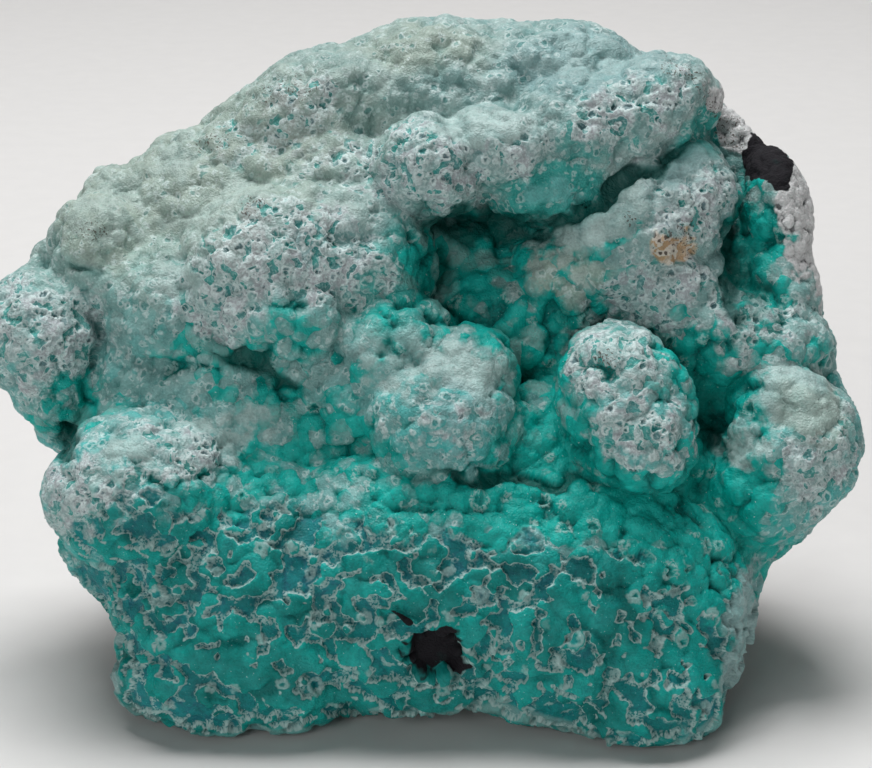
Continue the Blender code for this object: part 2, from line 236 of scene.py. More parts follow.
PATCHES = (
    Patch(Zone.CRACKLE, 0.0, 53.8, 5.2, 4.6),
    Patch(Zone.CRACKLE, 6.5, 55.6, 5.0, 2.8, 0, 0.7),
    Patch(Zone.CRACKLE, -14.0, 45.8, 9.0, 4.6, -12),
    Patch(Zone.CRACKLE, -20.5, 42.0, 4.5, 4.0),
    Patch(Zone.CRACKLE, 1.0, 30.0, 6.5, 5.5, 0, 0.42),
    Patch(Zone.CRACKLE, 18.5, 28.0, 6.0, 5.0, 10, 0.6),
    Patch(Zone.CRACKLE, 16.0, 35.5, 5.0, 4.0, 0, 0.8),
    Patch(Zone.CRACKLE, 35.8, 28.0, 4.0, 6.5, -10, 0.75),
    Patch(Zone.CRACKLE, -37.0, 38.0, 6.0, 6.0, 0, 0.75),
    Patch(Zone.CRACKLE, -31.5, 23.5, 5.5, 5.0, 0, 0.8),
    Patch(Zone.CRACKLE, -24.0, 27.5, 6.0, 3.0, 0, 0.8),
    Patch(Zone.CRACKLE, -15.0, 58.5, 8.0, 3.6, 25, 0.6),
    Patch(Zone.CRACKLE, -8.0, 54.5, 6.0, 3.0, 0, 0.5),
    Patch(Zone.CRACKLE, 18.0, 59.5, 8.0, 3.6, 28, 0.7),
    Patch(Zone.CRACKLE, 20.5, 42.0, 6.0, 4.5, 0, 0.7),
    Patch(Zone.CRACKLE, 23.5, 51.0, 4.5, 4.5, 0, 0.9),
    Patch(Zone.CRACKLE, 30.0, 39.5, 4.5, 4.5, 0, 0.7),
    Patch(Zone.DRUSE, 2.0, 44.0, 7.0, 7.0, 0, 0.7),
    Patch(Zone.DRUSE, 14.0, 45.0, 6.0, 4.0, 0, 0.6),
    Patch(Zone.DRUSE, 8.0, 37.0, 8.0, 6.0, 0, 0.9),
    Patch(Zone.DRUSE, 10.5, 26.0, 5.0, 6.5),
    Patch(Zone.DRUSE, 11.5, 33.5, 4.0, 4.0, 0, 0.6),
    Patch(Zone.DRUSE, 25.0, 35.0, 5.0, 6.0, 0, 0.9),
    Patch(Zone.DRUSE, 31.0, 34.0, 6.0, 5.0, 0, 0.8),
    Patch(Zone.DRUSE, 27.0, 25.0, 6.0, 5.0),
    Patch(Zone.DRUSE, 13.0, 22.5, 14.0, 3.4, 0, 1.6),
    Patch(Zone.DRUSE, 24.0, 17.0, 9.0, 6.0),
    Patch(Zone.DRUSE, 31.0, 44.0, 2.6, 8.0, 0, 1.1),
    Patch(Zone.DRUSE, -12.5, 38.5, 7.0, 3.0, 0, 0.5),
    Patch(Zone.DRUSE, -14.0, 32.0, 8.0, 5.0, 0, 0.55),
    Patch(Zone.DRUSE, -21.0, 35.5, 5.0, 4.0, 0, 0.6),
    Patch(Zone.DRUSE, -9.0, 27.0, 6.0, 6.0, 0, 0.65),
    Patch(Zone.DRUSE, -35.0, 31.5, 5.0, 3.0, 0, 0.8),
    Patch(Zone.DRUSE, -19.5, 24.5, 6.0, 4.5, 0, 0.8),
    Patch(Zone.DRUSE, -1.0, 23.0, 8.0, 3.0, 0, 0.8),
    Patch(Zone.DRUSE, -5.0, 40.0, 4.0, 5.0, 0, 0.5),
    # painted shade in the crevices and under the lobes' lips
    Patch(Zone.SHADED_CREVICE, 17.5, 52.2, 8.0, 0.8, 29),
    Patch(Zone.SHADED_CREVICE, 4.5, 48.6, 6.0, 1.6, -6),
    Patch(Zone.SHADED_CREVICE, 28.6, 45.0, 1.2, 5.5, -3),
    Patch(Zone.SHADED_CREVICE, 30.6, 43.6, 1.8, 4.5, 0, 0.6),
    Patch(Zone.SHADED_CREVICE, 25.3, 29.0, 1.1, 2.4),
    Patch(Zone.SHADED_CREVICE, -17.0, 35.2, 5.0, 0.9, -20),
    Patch(Zone.SHADED_CREVICE, 8.0, 24.6, 9.0, 0.7, -3),
    Patch(Zone.SHADED_CREVICE, -35.0, 28.0, 1.8, 1.4),
    Patch(Zone.SHADED_CREVICE, -34.0, 44.2, 2.2, 0.5, -35, 0.5),
    Patch(Zone.ISLANDS, -3.0, 8.0, 36.0, 13.0),
    Patch(Zone.ISLANDS, -20.0, 16.0, 14.0, 8.0),
    Patch(Zone.ISLANDS, 16.0, 12.0, 16.0, 8.0),
    Patch(Zone.TEAL, 10.8, 51.6, 5.5, 2.6, 8),
    Patch(Zone.TEAL, 26.0, 57.5, 4.5, 2.0, 38),
    Patch(Zone.TEAL, 19.0, 59.0, 7.0, 2.5, 28, 0.5),
    Patch(Zone.TEAL, -4.0, 43.0, 5.0, 6.0, 0, 0.7),
    Patch(Zone.TEAL, 15.5, 56.5, 6.0, 2.2, 20, 0.6),
    Patch(Zone.TEAL, -21.5, 9.5, 6.0, 4.0, 10, 0.9),
    Patch(Zone.TEAL, -4.0, 19.5, 3.0, 6.0, 0, 0.9),
    Patch(Zone.TEAL, 20.0, 15.0, 7.0, 5.0, 0, 0.7),
    Patch(Zone.WARM, -31.5, 49.0, 5.0, 5.5),
    Patch(Zone.WARM, -22.0, 54.0, 20.0, 11.0, 20, 0.7),
    Patch(Zone.WARM, -2.0, 66.0, 8.0, 3.0, 0, 0.7),
    Patch(Zone.WARM, 35.0, 30.5, 4.0, 3.0),
    Patch(Zone.WARM, 12.0, 43.5, 4.0, 3.0),
    Patch(Zone.BLUE, 15.0, 64.0, 8.0, 4.0),
    Patch(Zone.BLUE, 2.5, 29.5, 4.0, 4.0),
    Patch(Zone.BLUE, -26.5, 8.5, 8.0, 8.0),
    Patch(Zone.BLUE, 24.5, 51.5, 4.0, 4.0),
    Patch(Zone.BLUE, -12.0, 18.0, 6.0, 5.0),
    Patch(Zone.BLUE, 5.0, 18.0, 7.0, 4.0),
    Patch(Zone.BLUE, -26.0, 20.0, 5.0, 5.0, 0, 0.8),
    Patch(Zone.BLUE, 29.0, 11.0, 3.0, 9.0, -8),
    Patch(Zone.BLUE, -30.5, 7.0, 2.5, 6.0),
    Patch(Zone.SMOOTH, -4.0, 36.0, 5.0, 4.0, 0, 0.7),
    Patch(Zone.SMOOTH, 2.7, 34.6, 3.6, 2.4, 0, 1.2),
    Patch(Zone.SMOOTH, 4.5, 57.6, 5.0, 2.2, -5, 1.0),
    Patch(Zone.SMOOTH, 16.0, 49.2, 6.0, 2.2, 27, 1.0),
    Patch(Zone.SMOOTH, 24.0, 54.6, 4.0, 1.8, 32, 0.9),
    Patch(Zone.SMOOTH, -28.5, 26.8, 4.0, 2.0, 15, 0.8),
    Patch(Zone.SMOOTH, -31.5, 50.0, 5.0, 5.0, 0, 0.75),
    Patch(Zone.SMOOTH, -20.0, 50.5, 7.0, 3.0, 20, 0.7),
    Patch(Zone.SMOOTH, -24.0, 44.0, 4.0, 4.0, 0, 0.6),
    Patch(Zone.SMOOTH, -25.0, 55.5, 4.0, 3.0, 40, 0.75),
    Patch(Zone.SMOOTH, -19.5, 29.5, 5.0, 2.4, 0, 0.7),
    Patch(Zone.SMOOTH, 28.5, 28.0, 3.5, 2.6, 0, 0.7),
    Patch(Zone.SMOOTH, 12.0, 45.5, 4.5, 3.0, 0, 0.6),
    Patch(Zone.SMOOTH, 34.0, 31.8, 4.2, 3.2, 0, 1.2),
    Patch(Zone.SMOOTH, 15.0, 64.5, 8.0, 3.0, 0, 0.8),
    Patch(Zone.SMOOTH, 10.8, 51.2, 3.4, 1.4, 0, 0.8),
    Patch(Zone.SMOOTH, 28.6, 9.5, 2.2, 7.0, -8, 1.0),
    Patch(Zone.SMOOTH, -31.2, 6.5, 1.8, 4.5, 0, 0.9),
    Patch(Zone.STAIN, -13.6, 61.5, 4.0, 2.0, 0, 0.8),
    Patch(Zone.STAIN, -20.5, 56.0, 2.4, 2.0, 0, 0.8),
    Patch(Zone.STAIN, 15.2, 35.3, 0.8, 1.4),
    Patch(Zone.STAIN, 22.6, 48.0, 1.8, 1.2, 0, 1.3),
    Patch(Zone.STAIN, 24.0, 46.4, 0.8, 1.2, 0, 1.3),
    Patch(Zone.STAIN, 17.6, 48.6, 0.7, 0.6, 0, 1.5),
    Patch(Zone.STAIN, 26.0, 60.6, 6.0, 0.9, -35, 1.6),
    Patch(Zone.STAIN, -32.0, 47.5, 1.6, 0.8, 0, 1.2),
    Patch(Zone.STAIN, -16.5, 49.5, 1.6, 1.0, 0, 1.2),
    Patch(Zone.TAN, 22.3, 46.6, 2.1, 1.5, -10, 1.1),
    Patch(Zone.MATRIX, 36.0, 50.0, 3.0, 8.5, 8),
    Patch(Zone.MATRIX, 30.0, 58.5, 6.0, 1.6, -38),
    Patch(Zone.BLACK, 32.3, 55.0, 1.6, 2.6, 20),
    Patch(Zone.BLACK, -0.1, 8.8, 2.7, 2.3),
    Patch(Zone.BLACK, -3.2, 12.3, 0.7, 0.5),
)


@dataclass(frozen=True)
class FaceFrame:
    """Where the face frame and the upright frame lie in the row's frame."""

    lean: float = math.radians(20)
    shift: Corner = (1.15, -21.65, 0.0)

    def upright_matrix(self) -> Matrix:
        """From millimetres upright to metres in place."""
        return Matrix.Translation(Vector(self.shift) * MM) @ Matrix.Scale(MM, 4)

    def face_matrix(self) -> Matrix:
        """From millimetres in the face frame to metres in place."""
        return self.upright_matrix() @ Matrix.Rotation(math.radians(90) - self.lean, 4, "X")

    def to_face(self, points: np.ndarray) -> np.ndarray:
        """Turns places in metres into places in the face frame.

        Args:
            points: one row of x, y, z in metres for each place.

        Returns:
            One row of across, up and out in millimetres for each place.
        """
        back = np.array(self.face_matrix().inverted())
        return points @ back[:3, :3].T + back[:3, 3]


def points_of(mesh: bpy.types.Mesh) -> np.ndarray:
    """Reads a mesh's vertices.

    Args:
        mesh: the mesh to read.

    Returns:
        One row of x, y, z for each vertex.
    """
    flat = np.empty(len(mesh.vertices) * 3, np.float64)
    mesh.vertices.foreach_get("co", flat)
    return flat.reshape(-1, 3)


def normals_of(mesh: bpy.types.Mesh) -> np.ndarray:
    """Reads a mesh's vertex normals.

    Args:
        mesh: the mesh to read.

    Returns:
        One row of x, y, z for each vertex.
    """
    flat = np.empty(len(mesh.vertices) * 3, np.float32)
    mesh.vertex_normals.foreach_get("vector", flat)
    return flat.reshape(-1, 3).astype(np.float64)


def move_points(mesh: bpy.types.Mesh, points: np.ndarray) -> None:
    """Moves a mesh's vertices.

    Args:
        mesh: the mesh to change.
        points: the new places, one row for each vertex.
    """
    mesh.vertices.foreach_set("co", points.astype(np.float32).ravel())
    mesh.update()


def store(mesh: bpy.types.Mesh, name: str, values: np.ndarray) -> None:
    """Keeps three numbers for each vertex as a named attribute.

    Args:
        mesh: the mesh that keeps them.
        name: the attribute's name.
        values: one row of three numbers for each vertex.
    """
    kept = mesh.attributes.get(name) or mesh.attributes.new(name, "FLOAT_VECTOR", "POINT")
    kept.data.foreach_set("vector", values.astype(np.float32).ravel())


def stored(mesh: bpy.types.Mesh, name: str) -> np.ndarray:
    """Reads back three numbers for each vertex.

    Args:
        mesh: the mesh that keeps them.
        name: the attribute's name.

    Returns:
        One row of three numbers for each vertex.
    """
    flat = np.empty(len(mesh.vertices) * 3, np.float32)
    mesh.attributes[name].data.foreach_get("vector", flat)
    return flat.reshape(-1, 3).astype(np.float64)


def smoothstep(values: np.ndarray, low: float, high: float) -> np.ndarray:
    """Rises softly from 0 at low to 1 at high.

    Args:
        values: the numbers to turn into shares.
        low: where the rise begins.
        high: where it ends.

    Returns:
        The shares, from 0 to 1.
    """
    share = np.clip((values - low) / (high - low), 0.0, 1.0)
    return share * share * (3.0 - 2.0 * share)


def finished(source: bpy.types.Object, name: str) -> bpy.types.Mesh:
    """Takes an object's mesh with its modifiers applied, and removes the object.

    Args:
        source: the object with its modifiers.
        name: the new mesh's name.

    Returns:
        The finished mesh.
    """
    graph = bpy.context.evaluated_depsgraph_get()
    mesh = bpy.data.meshes.new_from_object(source.evaluated_get(graph))
    mesh.name = name
    bpy.data.objects.remove(source)
    return mesh


def link(name: str, mesh: bpy.types.Mesh) -> bpy.types.Object:
    """Puts a mesh into the scene.

    Args:
        name: the object's name.
        mesh: its mesh.

    Returns:
        The new object.
    """
    made = bpy.data.objects.new(name, mesh)
    bpy.context.scene.collection.objects.link(made)
    return made


def first_corners(mesh: bpy.types.Mesh) -> np.ndarray:
    """Reads one vertex of each face.

    Args:
        mesh: the mesh to read.

    Returns:
        For each face, the number of its first vertex.
    """
    corners = np.empty(len(mesh.loops), np.int32)
    mesh.loops.foreach_get("vertex_index", corners)
    starts = np.empty(len(mesh.polygons), np.int32)
    mesh.polygons.foreach_get("loop_start", starts)
    return corners[starts]


def cut_out(mesh: bpy.types.Mesh, kept: np.ndarray, name: str) -> bpy.types.Mesh:
    """Copies some of a mesh's faces, with what their vertices keep, to a new mesh.

    Args:
        mesh: the mesh to copy from.
        kept: for each face, whether it is copied.
        name: the new mesh's name.

    Returns:
        The new mesh, shaded smooth.
    """
    totals = np.empty(len(mesh.polygons), np.int32)
    mesh.polygons.foreach_get("loop_total", totals)
    corners = np.empty(len(mesh.loops), np.int32)
    mesh.loops.foreach_get("vertex_index", corners)
    used, renumbered = np.unique(corners[np.repeat(kept, totals)], return_inverse=True)
    sizes = totals[kept]
    made = bpy.data.meshes.new(name)
    made.vertices.add(len(used))
    made.vertices.foreach_set("co", points_of(mesh)[used].astype(np.float32).ravel())
    made.loops.add(len(renumbered))
    made.loops.foreach_set("vertex_index", renumbered.astype(np.int32).ravel())
    made.polygons.add(len(sizes))
    made.polygons.foreach_set("loop_start", np.concatenate(([0], np.cumsum(sizes)[:-1])))
    made.update(calc_edges=True)
    for name_kept in ("rest", *SHARES):
        if name_kept in mesh.attributes:
            store(made, name_kept, stored(mesh, name_kept)[used])
    made.validate()
    made.shade_smooth()
    return made


@dataclass
class Growth:
    """The specimen's form: the rock blocks, the lump and its lobes, grown into one skin."""

    frame: FaceFrame
    outline_middle_up: float = 33.0
    lobe_roundness: int = 4
    soften_reach: float = 1.0
    uneven_size: float = 3.6
    uneven_height: float = 1.0

    def skin(self, voxel: float, name: str) -> bpy.types.Mesh:
        """Grows the skin at one fineness.

        Args:
            voxel: the side of one face, in millimetres.
            name: the mesh's name.

        Returns:
            The skin in place, in metres.
        """
        shape = bmesh.new()
        for block in ROCK_BLOCKS:
            self._add_rock(shape, block)
        shape.transform(self.frame.face_matrix().inverted() @ self.frame.upright_matrix())
        self._add_lump(shape)
        for lobe in LOBES:
            self._add_lobe(shape, lobe)
        shape.transform(self.frame.face_matrix())
        bmesh.ops.recalc_face_normals(shape, faces=shape.faces)
        shells = bpy.data.meshes.new(name)
        shape.to_mesh(shells)
        shape.free()
        return finished(self._grow_together(link(name, shells), voxel), name)

    def _add_lump(self, shape: bmesh.types.BMesh) -> None:
        """Adds the lump that carries the lobes, ring by ring from the face to the back.

        Args:
            shape: the shape to add it to, in the face frame.
        """
        rings = []
        for ring in LUMP_RINGS:
            corners = []
            for across, up in OUTLINE:
                ring_up = self.outline_middle_up + (up - self.outline_middle_up) * ring.size
                out = ring.out_at_foot - ring.drop * ring_up
                corners.append(shape.verts.new((across * ring.size, ring_up, out)))
            rings.append(corners)
        count = len(OUTLINE)
        for front, back in zip(rings, rings[1:]):
            for i in range(count):
                j = (i + 1) % count
                shape.faces.new((front[i], back[i], back[j], front[j]))
        shape.faces.new(rings[0])
        shape.faces.new(reversed(rings[-1]))

    def _add_lobe(self, shape: bmesh.types.BMesh, lobe: Lobe) -> None:
        """Adds one rounded growth as an ellipsoid.

        Args:
            shape: the shape to add it to, in the face frame.
            lobe: the growth.
        """
        place = Matrix.Translation((lobe.across, lobe.up, lobe.out))
        roll = Matrix.Rotation(math.radians(lobe.roll), 4, "Z")
        size = Matrix.Diagonal((lobe.wide, lobe.tall, lobe.deep, 1.0))
        bmesh.ops.create_icosphere(
            shape, subdivisions=self.lobe_roundness, radius=1.0, matrix=place @ roll @ size
        )

    def _add_rock(self, shape: bmesh.types.BMesh, block: tuple[Corner, ...]) -> None:
        """Adds one broken block of the rock behind.

        Args:
            shape: the shape to add it to, upright.
            block: the block's corners.
        """
        corners = [shape.verts.new(corner) for corner in block]
        hull = bmesh.ops.convex_hull(shape, input=corners)
        inside = [item for item in hull["geom_interior"] if isinstance(item, bmesh.types.BMVert)]
        bmesh.ops.delete(shape, geom=inside, context="VERTS")

    def _grow_together(self, shells: bpy.types.Object, voxel: float) -> bpy.types.Object:
        """Joins the shells into one skin, softens the creases and makes the lobes uneven.

        Args:
            shells: the object that holds the overlapping closed shells.
            voxel: the side of one face, in millimetres.

        Returns:
            The same object with its modifiers.
        """
        remesh = shells.modifiers.new("join", "REMESH")
        remesh.mode = "VOXEL"
        remesh.voxel_size = voxel * MM
        remesh.use_smooth_shade = True
        smooth = shells.modifiers.new("soften", "SMOOTH")
        smooth.factor = 0.5
        smooth.iterations = max(4, round(2.0 * (self.soften_reach / voxel) ** 2))
        clouds = bpy.data.textures.new("uneven", type="CLOUDS")
        clouds.noise_scale = self.uneven_size * MM
        displace = shells.modifiers.new("uneven", "DISPLACE")
        displace.texture = clouds
        displace.strength = self.uneven_height * MM
        return shells


@dataclass
class Exposure:
    """How open each place on the specimen is to the light, from 0 in a deep hollow to 1."""

    growth: Growth
    voxel: float = 1.0
    reach: float = 9.0
    rays: int = 26
    lift: float = 0.25
    grazing: float = 0.12
    neighbours: int = 3
    blend_reach: float = 0.2

    def measure(self, points: np.ndarray) -> np.ndarray:
        """Looks out from the skin in all directions and carries the result to some places.

        Args:
            points: the places, one row of x, y, z in metres each.

        Returns:
            One share for each place.
        """
        skin = self.growth.skin(self.voxel, "exposure_skin")
        corners = points_of(skin)
        normals = normals_of(skin)
        faces = [tuple(face.vertices) for face in skin.polygons]
        tree = BVHTree.FromPolygons([Vector(corner) for corner in corners], faces)
        directions = self._directions()
        near = KDTree(len(corners))
        open_share = np.empty(len(corners))
        for index, (corner, normal) in enumerate(zip(corners, normals)):
            start = Vector(corner + normal * self.lift * MM)
            facing = directions[directions @ normal > self.grazing]
            free = sum(
                tree.ray_cast(start, Vector(way), self.reach * MM)[0] is None for way in facing
            )
            open_share[index] = free / max(1, len(facing))
            near.insert(start, index)
        near.balance()
        bpy.data.meshes.remove(skin)
        result = np.empty(len(points))
        for index, point in enumerate(points):
            found = near.find_n(point, self.neighbours)
            weights = [1.0 / (distance + self.blend_reach * MM) for _, _, distance in found]
            shares = [open_share[other] for _, other, _ in found]
            result[index] = np.dot(weights, shares) / sum(weights)
        return result

    def _directions(self) -> np.ndarray:
        """Spreads directions evenly over the whole sphere.

        Returns:
            One row of x, y, z for each direction.
        """
        count = self.rays * 2
        steps = np.arange(count) + 0.5
        height = 1.0 - 2.0 * steps / count
        turn = steps * math.pi * (1.0 + math.sqrt(5.0))
        flat = np.sqrt(1.0 - height * height)
        return np.column_stack((flat * np.cos(turn), flat * np.sin(turn), height))


@dataclass
class CrustMap:
    """Where each zone lies on the crust, and where the crust ends on the rock behind."""

    back_edge_out: float = -19.0
    foot_edge_out: float = -5.0
    face_edge_out: tuple[float, float] = (-22.0, -18.0)
    black_edge_out: tuple[float, float] = (-16.5, -14.5)
    wave_height: float = 1.0
    hollow_middle: tuple[float, float] = (-0.1, 8.8)
    hollow_half_size: tuple[float, float] = (2.9, 2.4)
    hollow_depth: float = 1.4
    groove_depth: float = 0.5
    bend_reach: float = 0.5

    def shares(self, places: np.ndarray) -> dict[str, np.ndarray]:
        """Works out every zone's share.

        Args:
            places: one row of across, up and out for each place.

        Returns:
            For each mesh attribute, one row of three shares for each place.
        """
        columns = {name: np.zeros((len(places), 3)) for name in SHARES}
        facing = smoothstep(places[:, 2], *self.face_edge_out)
        bent = self._bent(places)
        for patch in PATCHES:
            attribute, column = patch.zone.value
            kept = columns[attribute][:, column]
            np.maximum(kept, self._share(patch, bent) * facing, out=kept)
        attribute, column = Zone.BLACK.value
        columns[attribute][:, column] *= smoothstep(bent[:, 2], *self.black_edge_out)
        columns["trim"][:, 1] = places[:, 1] - self._foot(places[:, 0])
        return columns

    def _bent(self, places: np.ndarray) -> np.ndarray:
        """Moves places to and fro a little, so that no patch has a plain ellipse's edge.

        Args:
            places: one row of across, up and out for each place.

        Returns:
            The moved places.
        """
        across, up, out = places.T
        aside = np.sin(1.03 * up + 0.9 * out) + 0.5 * np.sin(1.9 * up - 1.3 * across + 0.5 * out)
        above = np.sin(0.87 * across - 0.6 * out) + 0.5 * np.sin(1.6 * across + 1.4 * up)
        return places + self.bend_reach * np.column_stack((aside, above, np.zeros(len(places))))

    def _foot(self, across: np.ndarray) -> np.ndarray:
        """The height of the face's lower edge at some places along it."""
        foot_across, foot_up = np.array(FOOT_OUTLINE[::-1]).T
        return np.interp(across, foot_across, foot_up)

    def hollow(self, places: np.ndarray) -> np.ndarray:
        """How deep the dark hollow in the lower face is sunk.

        Args:
            places: one row of across, up and out for each place.

        Returns:
            Millimetres for each place.
        """
        across, up, out = places.T
        middle_across, middle_up = self.hollow_middle
        half_wide, half_tall = self.hollow_half_size
        reach = np.hypot((across - middle_across) / half_wide, (up - middle_up) / half_tall)
        reach += 0.12 * np.sin(3.1 * across + 1.7 * up) + 0.10 * np.sin(4.3 * up - 2.2 * across)
        share = np.clip(1.5 - reach, 0.0, 1.0) * (out > 0.0)
        return self.hollow_depth * smoothstep(share, 0.35, 0.8)

    def _share(self, patch: Patch, places: np.ndarray) -> np.ndarray:
        """Works out one patch's share: 1 in its heart, a half at its edge, 0 well outside.

        Args:
            patch: the soft ellipse.
            places: one row of across, up and out for each place.

        Returns:
            One share for each place.
        """
        turn = math.radians(patch.roll)
        right = places[:, 0] - patch.across
        above = places[:, 1] - patch.up
        along = (right * math.cos(turn) + above * math.sin(turn)) / patch.wide
        beside = (above * math.cos(turn) - right * math.sin(turn)) / patch.tall
        reach = np.sqrt(along * along + beside * beside)
        return patch.strength * np.clip(1.5 - reach, 0.0, 1.0)

    def cover(self, places: np.ndarray) -> np.ndarray:
        """How far inside the crust's edge each place lies.

        Args:
            places: one row of across, up and out for each place.

        Returns:
            Millimetres, less than 0 where the rock is bare.
        """
        across, up, out = places.T
        wave = np.sin(0.43 * across + 1.1) * np.cos(0.37 * up + 0.4)
        wave += 0.6 * np.sin(1.13 * across - 0.71 * up) + 0.4 * np.sin(1.9 * up + 0.8 * across)
        behind = out - self.back_edge_out + self.wave_height * wave
        beneath = (up - self._foot(across)) + (out - self.foot_edge_out) + 0.3 * wave
        return np.minimum(behind, beneath)


class Graph:
    """Lays nodes in the tree of a material or of a shape."""

    def __init__(self, tree: bpy.types.NodeTree) -> None:
        """Starts with a tree to fill."""
        self.tree = tree

    def add(self, kind: str, **settings: object) -> bpy.types.Node:
        """Adds one node.

        Args:
            kind: the node's type.
            settings: its properties.

        Returns:
            The new node.
        """
        node = self.tree.nodes.new(kind)
        for name, value in settings.items():
            setattr(node, name, value)
        return node

    def plug(self, socket: Socket, value: object) -> None:
        """Gives an input its value, or links it to an output.

        Args:
            socket: the input.
            value: a number, a colour or another node's output.
        """
        if isinstance(value, Socket):
            self.tree.links.new(value, socket)
        elif isinstance(value, tuple) and socket.type == "RGBA":
            socket.default_value = (*value[:3], 1.0)
        else:
            socket.default_value = value

    def math(self, operation: str, *values: Value, clamp: bool = False) -> Socket:
        """Works out one sum.

        Args:
            operation: the sum's name.
            values: its numbers or outputs.
            clamp: whether the result stays between 0 and 1.

        Returns:
            The result.
        """
        node = self.add("ShaderNodeMath", operation=operation, use_clamp=clamp)
        for socket, value in zip(node.inputs, values):
            self.plug(socket, value)
        return node.outputs[0]

    def total(self, *values: Value) -> Socket:
        """Adds several numbers up.

        Args:
            values: the numbers or outputs.

        Returns:
            Their sum.
        """
        result = values[0]
        for value in values[1:]:
            result = self.math("ADD", result, value)
        return result

    def times(self, *values: Value) -> Socket:
        """Multiplies several numbers.

        Args:
            values: the numbers or outputs.

        Returns:
            Their product.
        """
        result = values[0]
        for value in values[1:]:
            result = self.math("MULTIPLY", result, value)
        return result

    def inverse(self, value: Value) -> Socket:
        """One less the value."""
        return self.math("SUBTRACT", 1.0, value)

    def step(self, value: Value, low: float, high: float) -> Socket:
        """Rises softly from 0 at low to 1 at high.

        Args:
            value: the number to turn into a share.
            low: where the rise begins.
            high: where it ends.

        Returns:
            The share.
        """
        node = self.add("ShaderNodeMapRange", interpolation_type="SMOOTHSTEP")
        for socket, given in zip(node.inputs, (value, low, high, 0.0, 1.0)):
            self.plug(socket, given)
        return node.outputs[0]

    def near(self, value: Value, middle: Value, width: float) -> Socket:
        """Peaks at 1 where the value is the middle, and is 0 a width away.

        Args:
            value: the number to test.
            middle: where the peak is.
            width: how far the peak reaches.

        Returns:
            The share.
        """
        away = self.math("ABSOLUTE", self.math("SUBTRACT", value, middle))
        return self.inverse(self.step(away, 0.25 * width, width))

    def mix(self, share: Value, first: Value, second: Value) -> Socket:
        """Goes from one number to another.

        Args:
            share: 0 for the first, 1 for the second.
            first: the first number.
            second: the second number.

        Returns:
            The number between them.
        """
        node = self.add("ShaderNodeMix", data_type="FLOAT")
        self.plug(node.inputs[0], share)
        self.plug(node.inputs[2], first)
        self.plug(node.inputs[3], second)
        return node.outputs[0]

    def blend(
        self, share: Value, first: object, second: object, mode: str = "MIX"
    ) -> Socket:
        """Goes from one colour to another.

        Args:
            share: 0 for the first, 1 for the second.
            first: the first colour.
            second: the second colour.
            mode: how they are put together.

        Returns:
            The colour.
        """
        node = self.add("ShaderNodeMix", data_type="RGBA", blend_type=mode)
        self.plug(node.inputs["Factor"], share)
        self.plug(node.inputs[6], first)
        self.plug(node.inputs[7], second)
        return node.outputs[2]

    def attribute(self, name: str) -> Socket:
        """Reads what the vertices keep.

        Args:
            name: the attribute's name.

        Returns:
            Its three numbers.
        """
        if self.tree.type == "GEOMETRY":
            node = self.add("GeometryNodeInputNamedAttribute", data_type="FLOAT_VECTOR")
            node.inputs["Name"].default_value = name
            return node.outputs["Attribute"]
        node = self.add("ShaderNodeAttribute", attribute_name=name)
        return node.outputs["Vector"]

    def split(self, vector: Socket) -> tuple[Socket, Socket, Socket]:
        """Takes three numbers apart.

        Args:
            vector: the three numbers.

        Returns:
            Each of them.
        """
        node = self.add("ShaderNodeSeparateXYZ")
        self.plug(node.inputs[0], vector)
        return node.outputs[0], node.outputs[1], node.outputs[2]

    def moved(self, place: Socket, offset: object, reach: float = 1.0) -> Socket:
        """Moves a place.

        Args:
            place: the place.
            offset: how far it moves, for a reach of 1.
            reach: what the offset is multiplied by.

        Returns:
            The new place.
        """
        node = self.add("ShaderNodeVectorMath", operation="MULTIPLY_ADD")
        self.plug(node.inputs[0], offset)
        node.inputs[1].default_value = (reach, reach, reach)
        self.plug(node.inputs[2], place)
        return node.outputs[0]

    def noise(self, place: Socket, size: float, detail: float = 2.0) -> tuple[Socket, Socket]:
        """Cloudy noise.

        Args:
            place: where it is read.
            size: the clouds' size, in the place's unit.
            detail: how many finer layers it has.

        Returns:
            A number around a half, and three such numbers.
        """
        node = self.add("ShaderNodeTexNoise")
        self.plug(node.inputs["Vector"], place)
        node.inputs["Scale"].default_value = 1.0 / size
        node.inputs["Detail"].default_value = detail
        return node.outputs[0], node.outputs[1]

    def swing(self, place: Socket, size: float, detail: float = 2.0) -> Socket:
        """Three noise numbers around 0.

        Args:
            place: where they are read, in millimetres.
            size: the clouds' size, in millimetres.
            detail: how many finer layers they have.

        Returns:
            The three numbers.
        """
        node = self.add("ShaderNodeVectorMath", operation="SUBTRACT")
        self.plug(node.inputs[0], self.noise(place, size, detail)[1])
        node.inputs[1].default_value = (0.5, 0.5, 0.5)
        return node.outputs[0]

    def cells(self, place: Socket, size: float) -> tuple[Socket, Socket, Socket]:
        """Grains packed side by side.

        Args:
            place: where they are read, in millimetres.
            size: a grain's size, in millimetres.

        Returns:
            How far the grain's middle is, for a size of 1, and two random numbers for the grain.
        """
        node = self.add("ShaderNodeTexVoronoi", feature="F1")
        self.plug(node.inputs["Vector"], place)
        node.inputs["Scale"].default_value = 1.0 / size
        first, second, _ = self.split(node.outputs["Color"])
        return node.outputs["Distance"], first, second

    def ball(self, distance: Value, radius: float) -> Socket:
        """The height of a ball's cap over its rim.

        Args:
            distance: how far the middle is.
            radius: the ball's radius.

        Returns:
            1 at the middle and 0 from the rim outwards.
        """
        share = self.math("DIVIDE", distance, radius)
        left = self.math("SUBTRACT", 1.0, self.times(share, share), clamp=True)
        return self.math("SQRT", left)

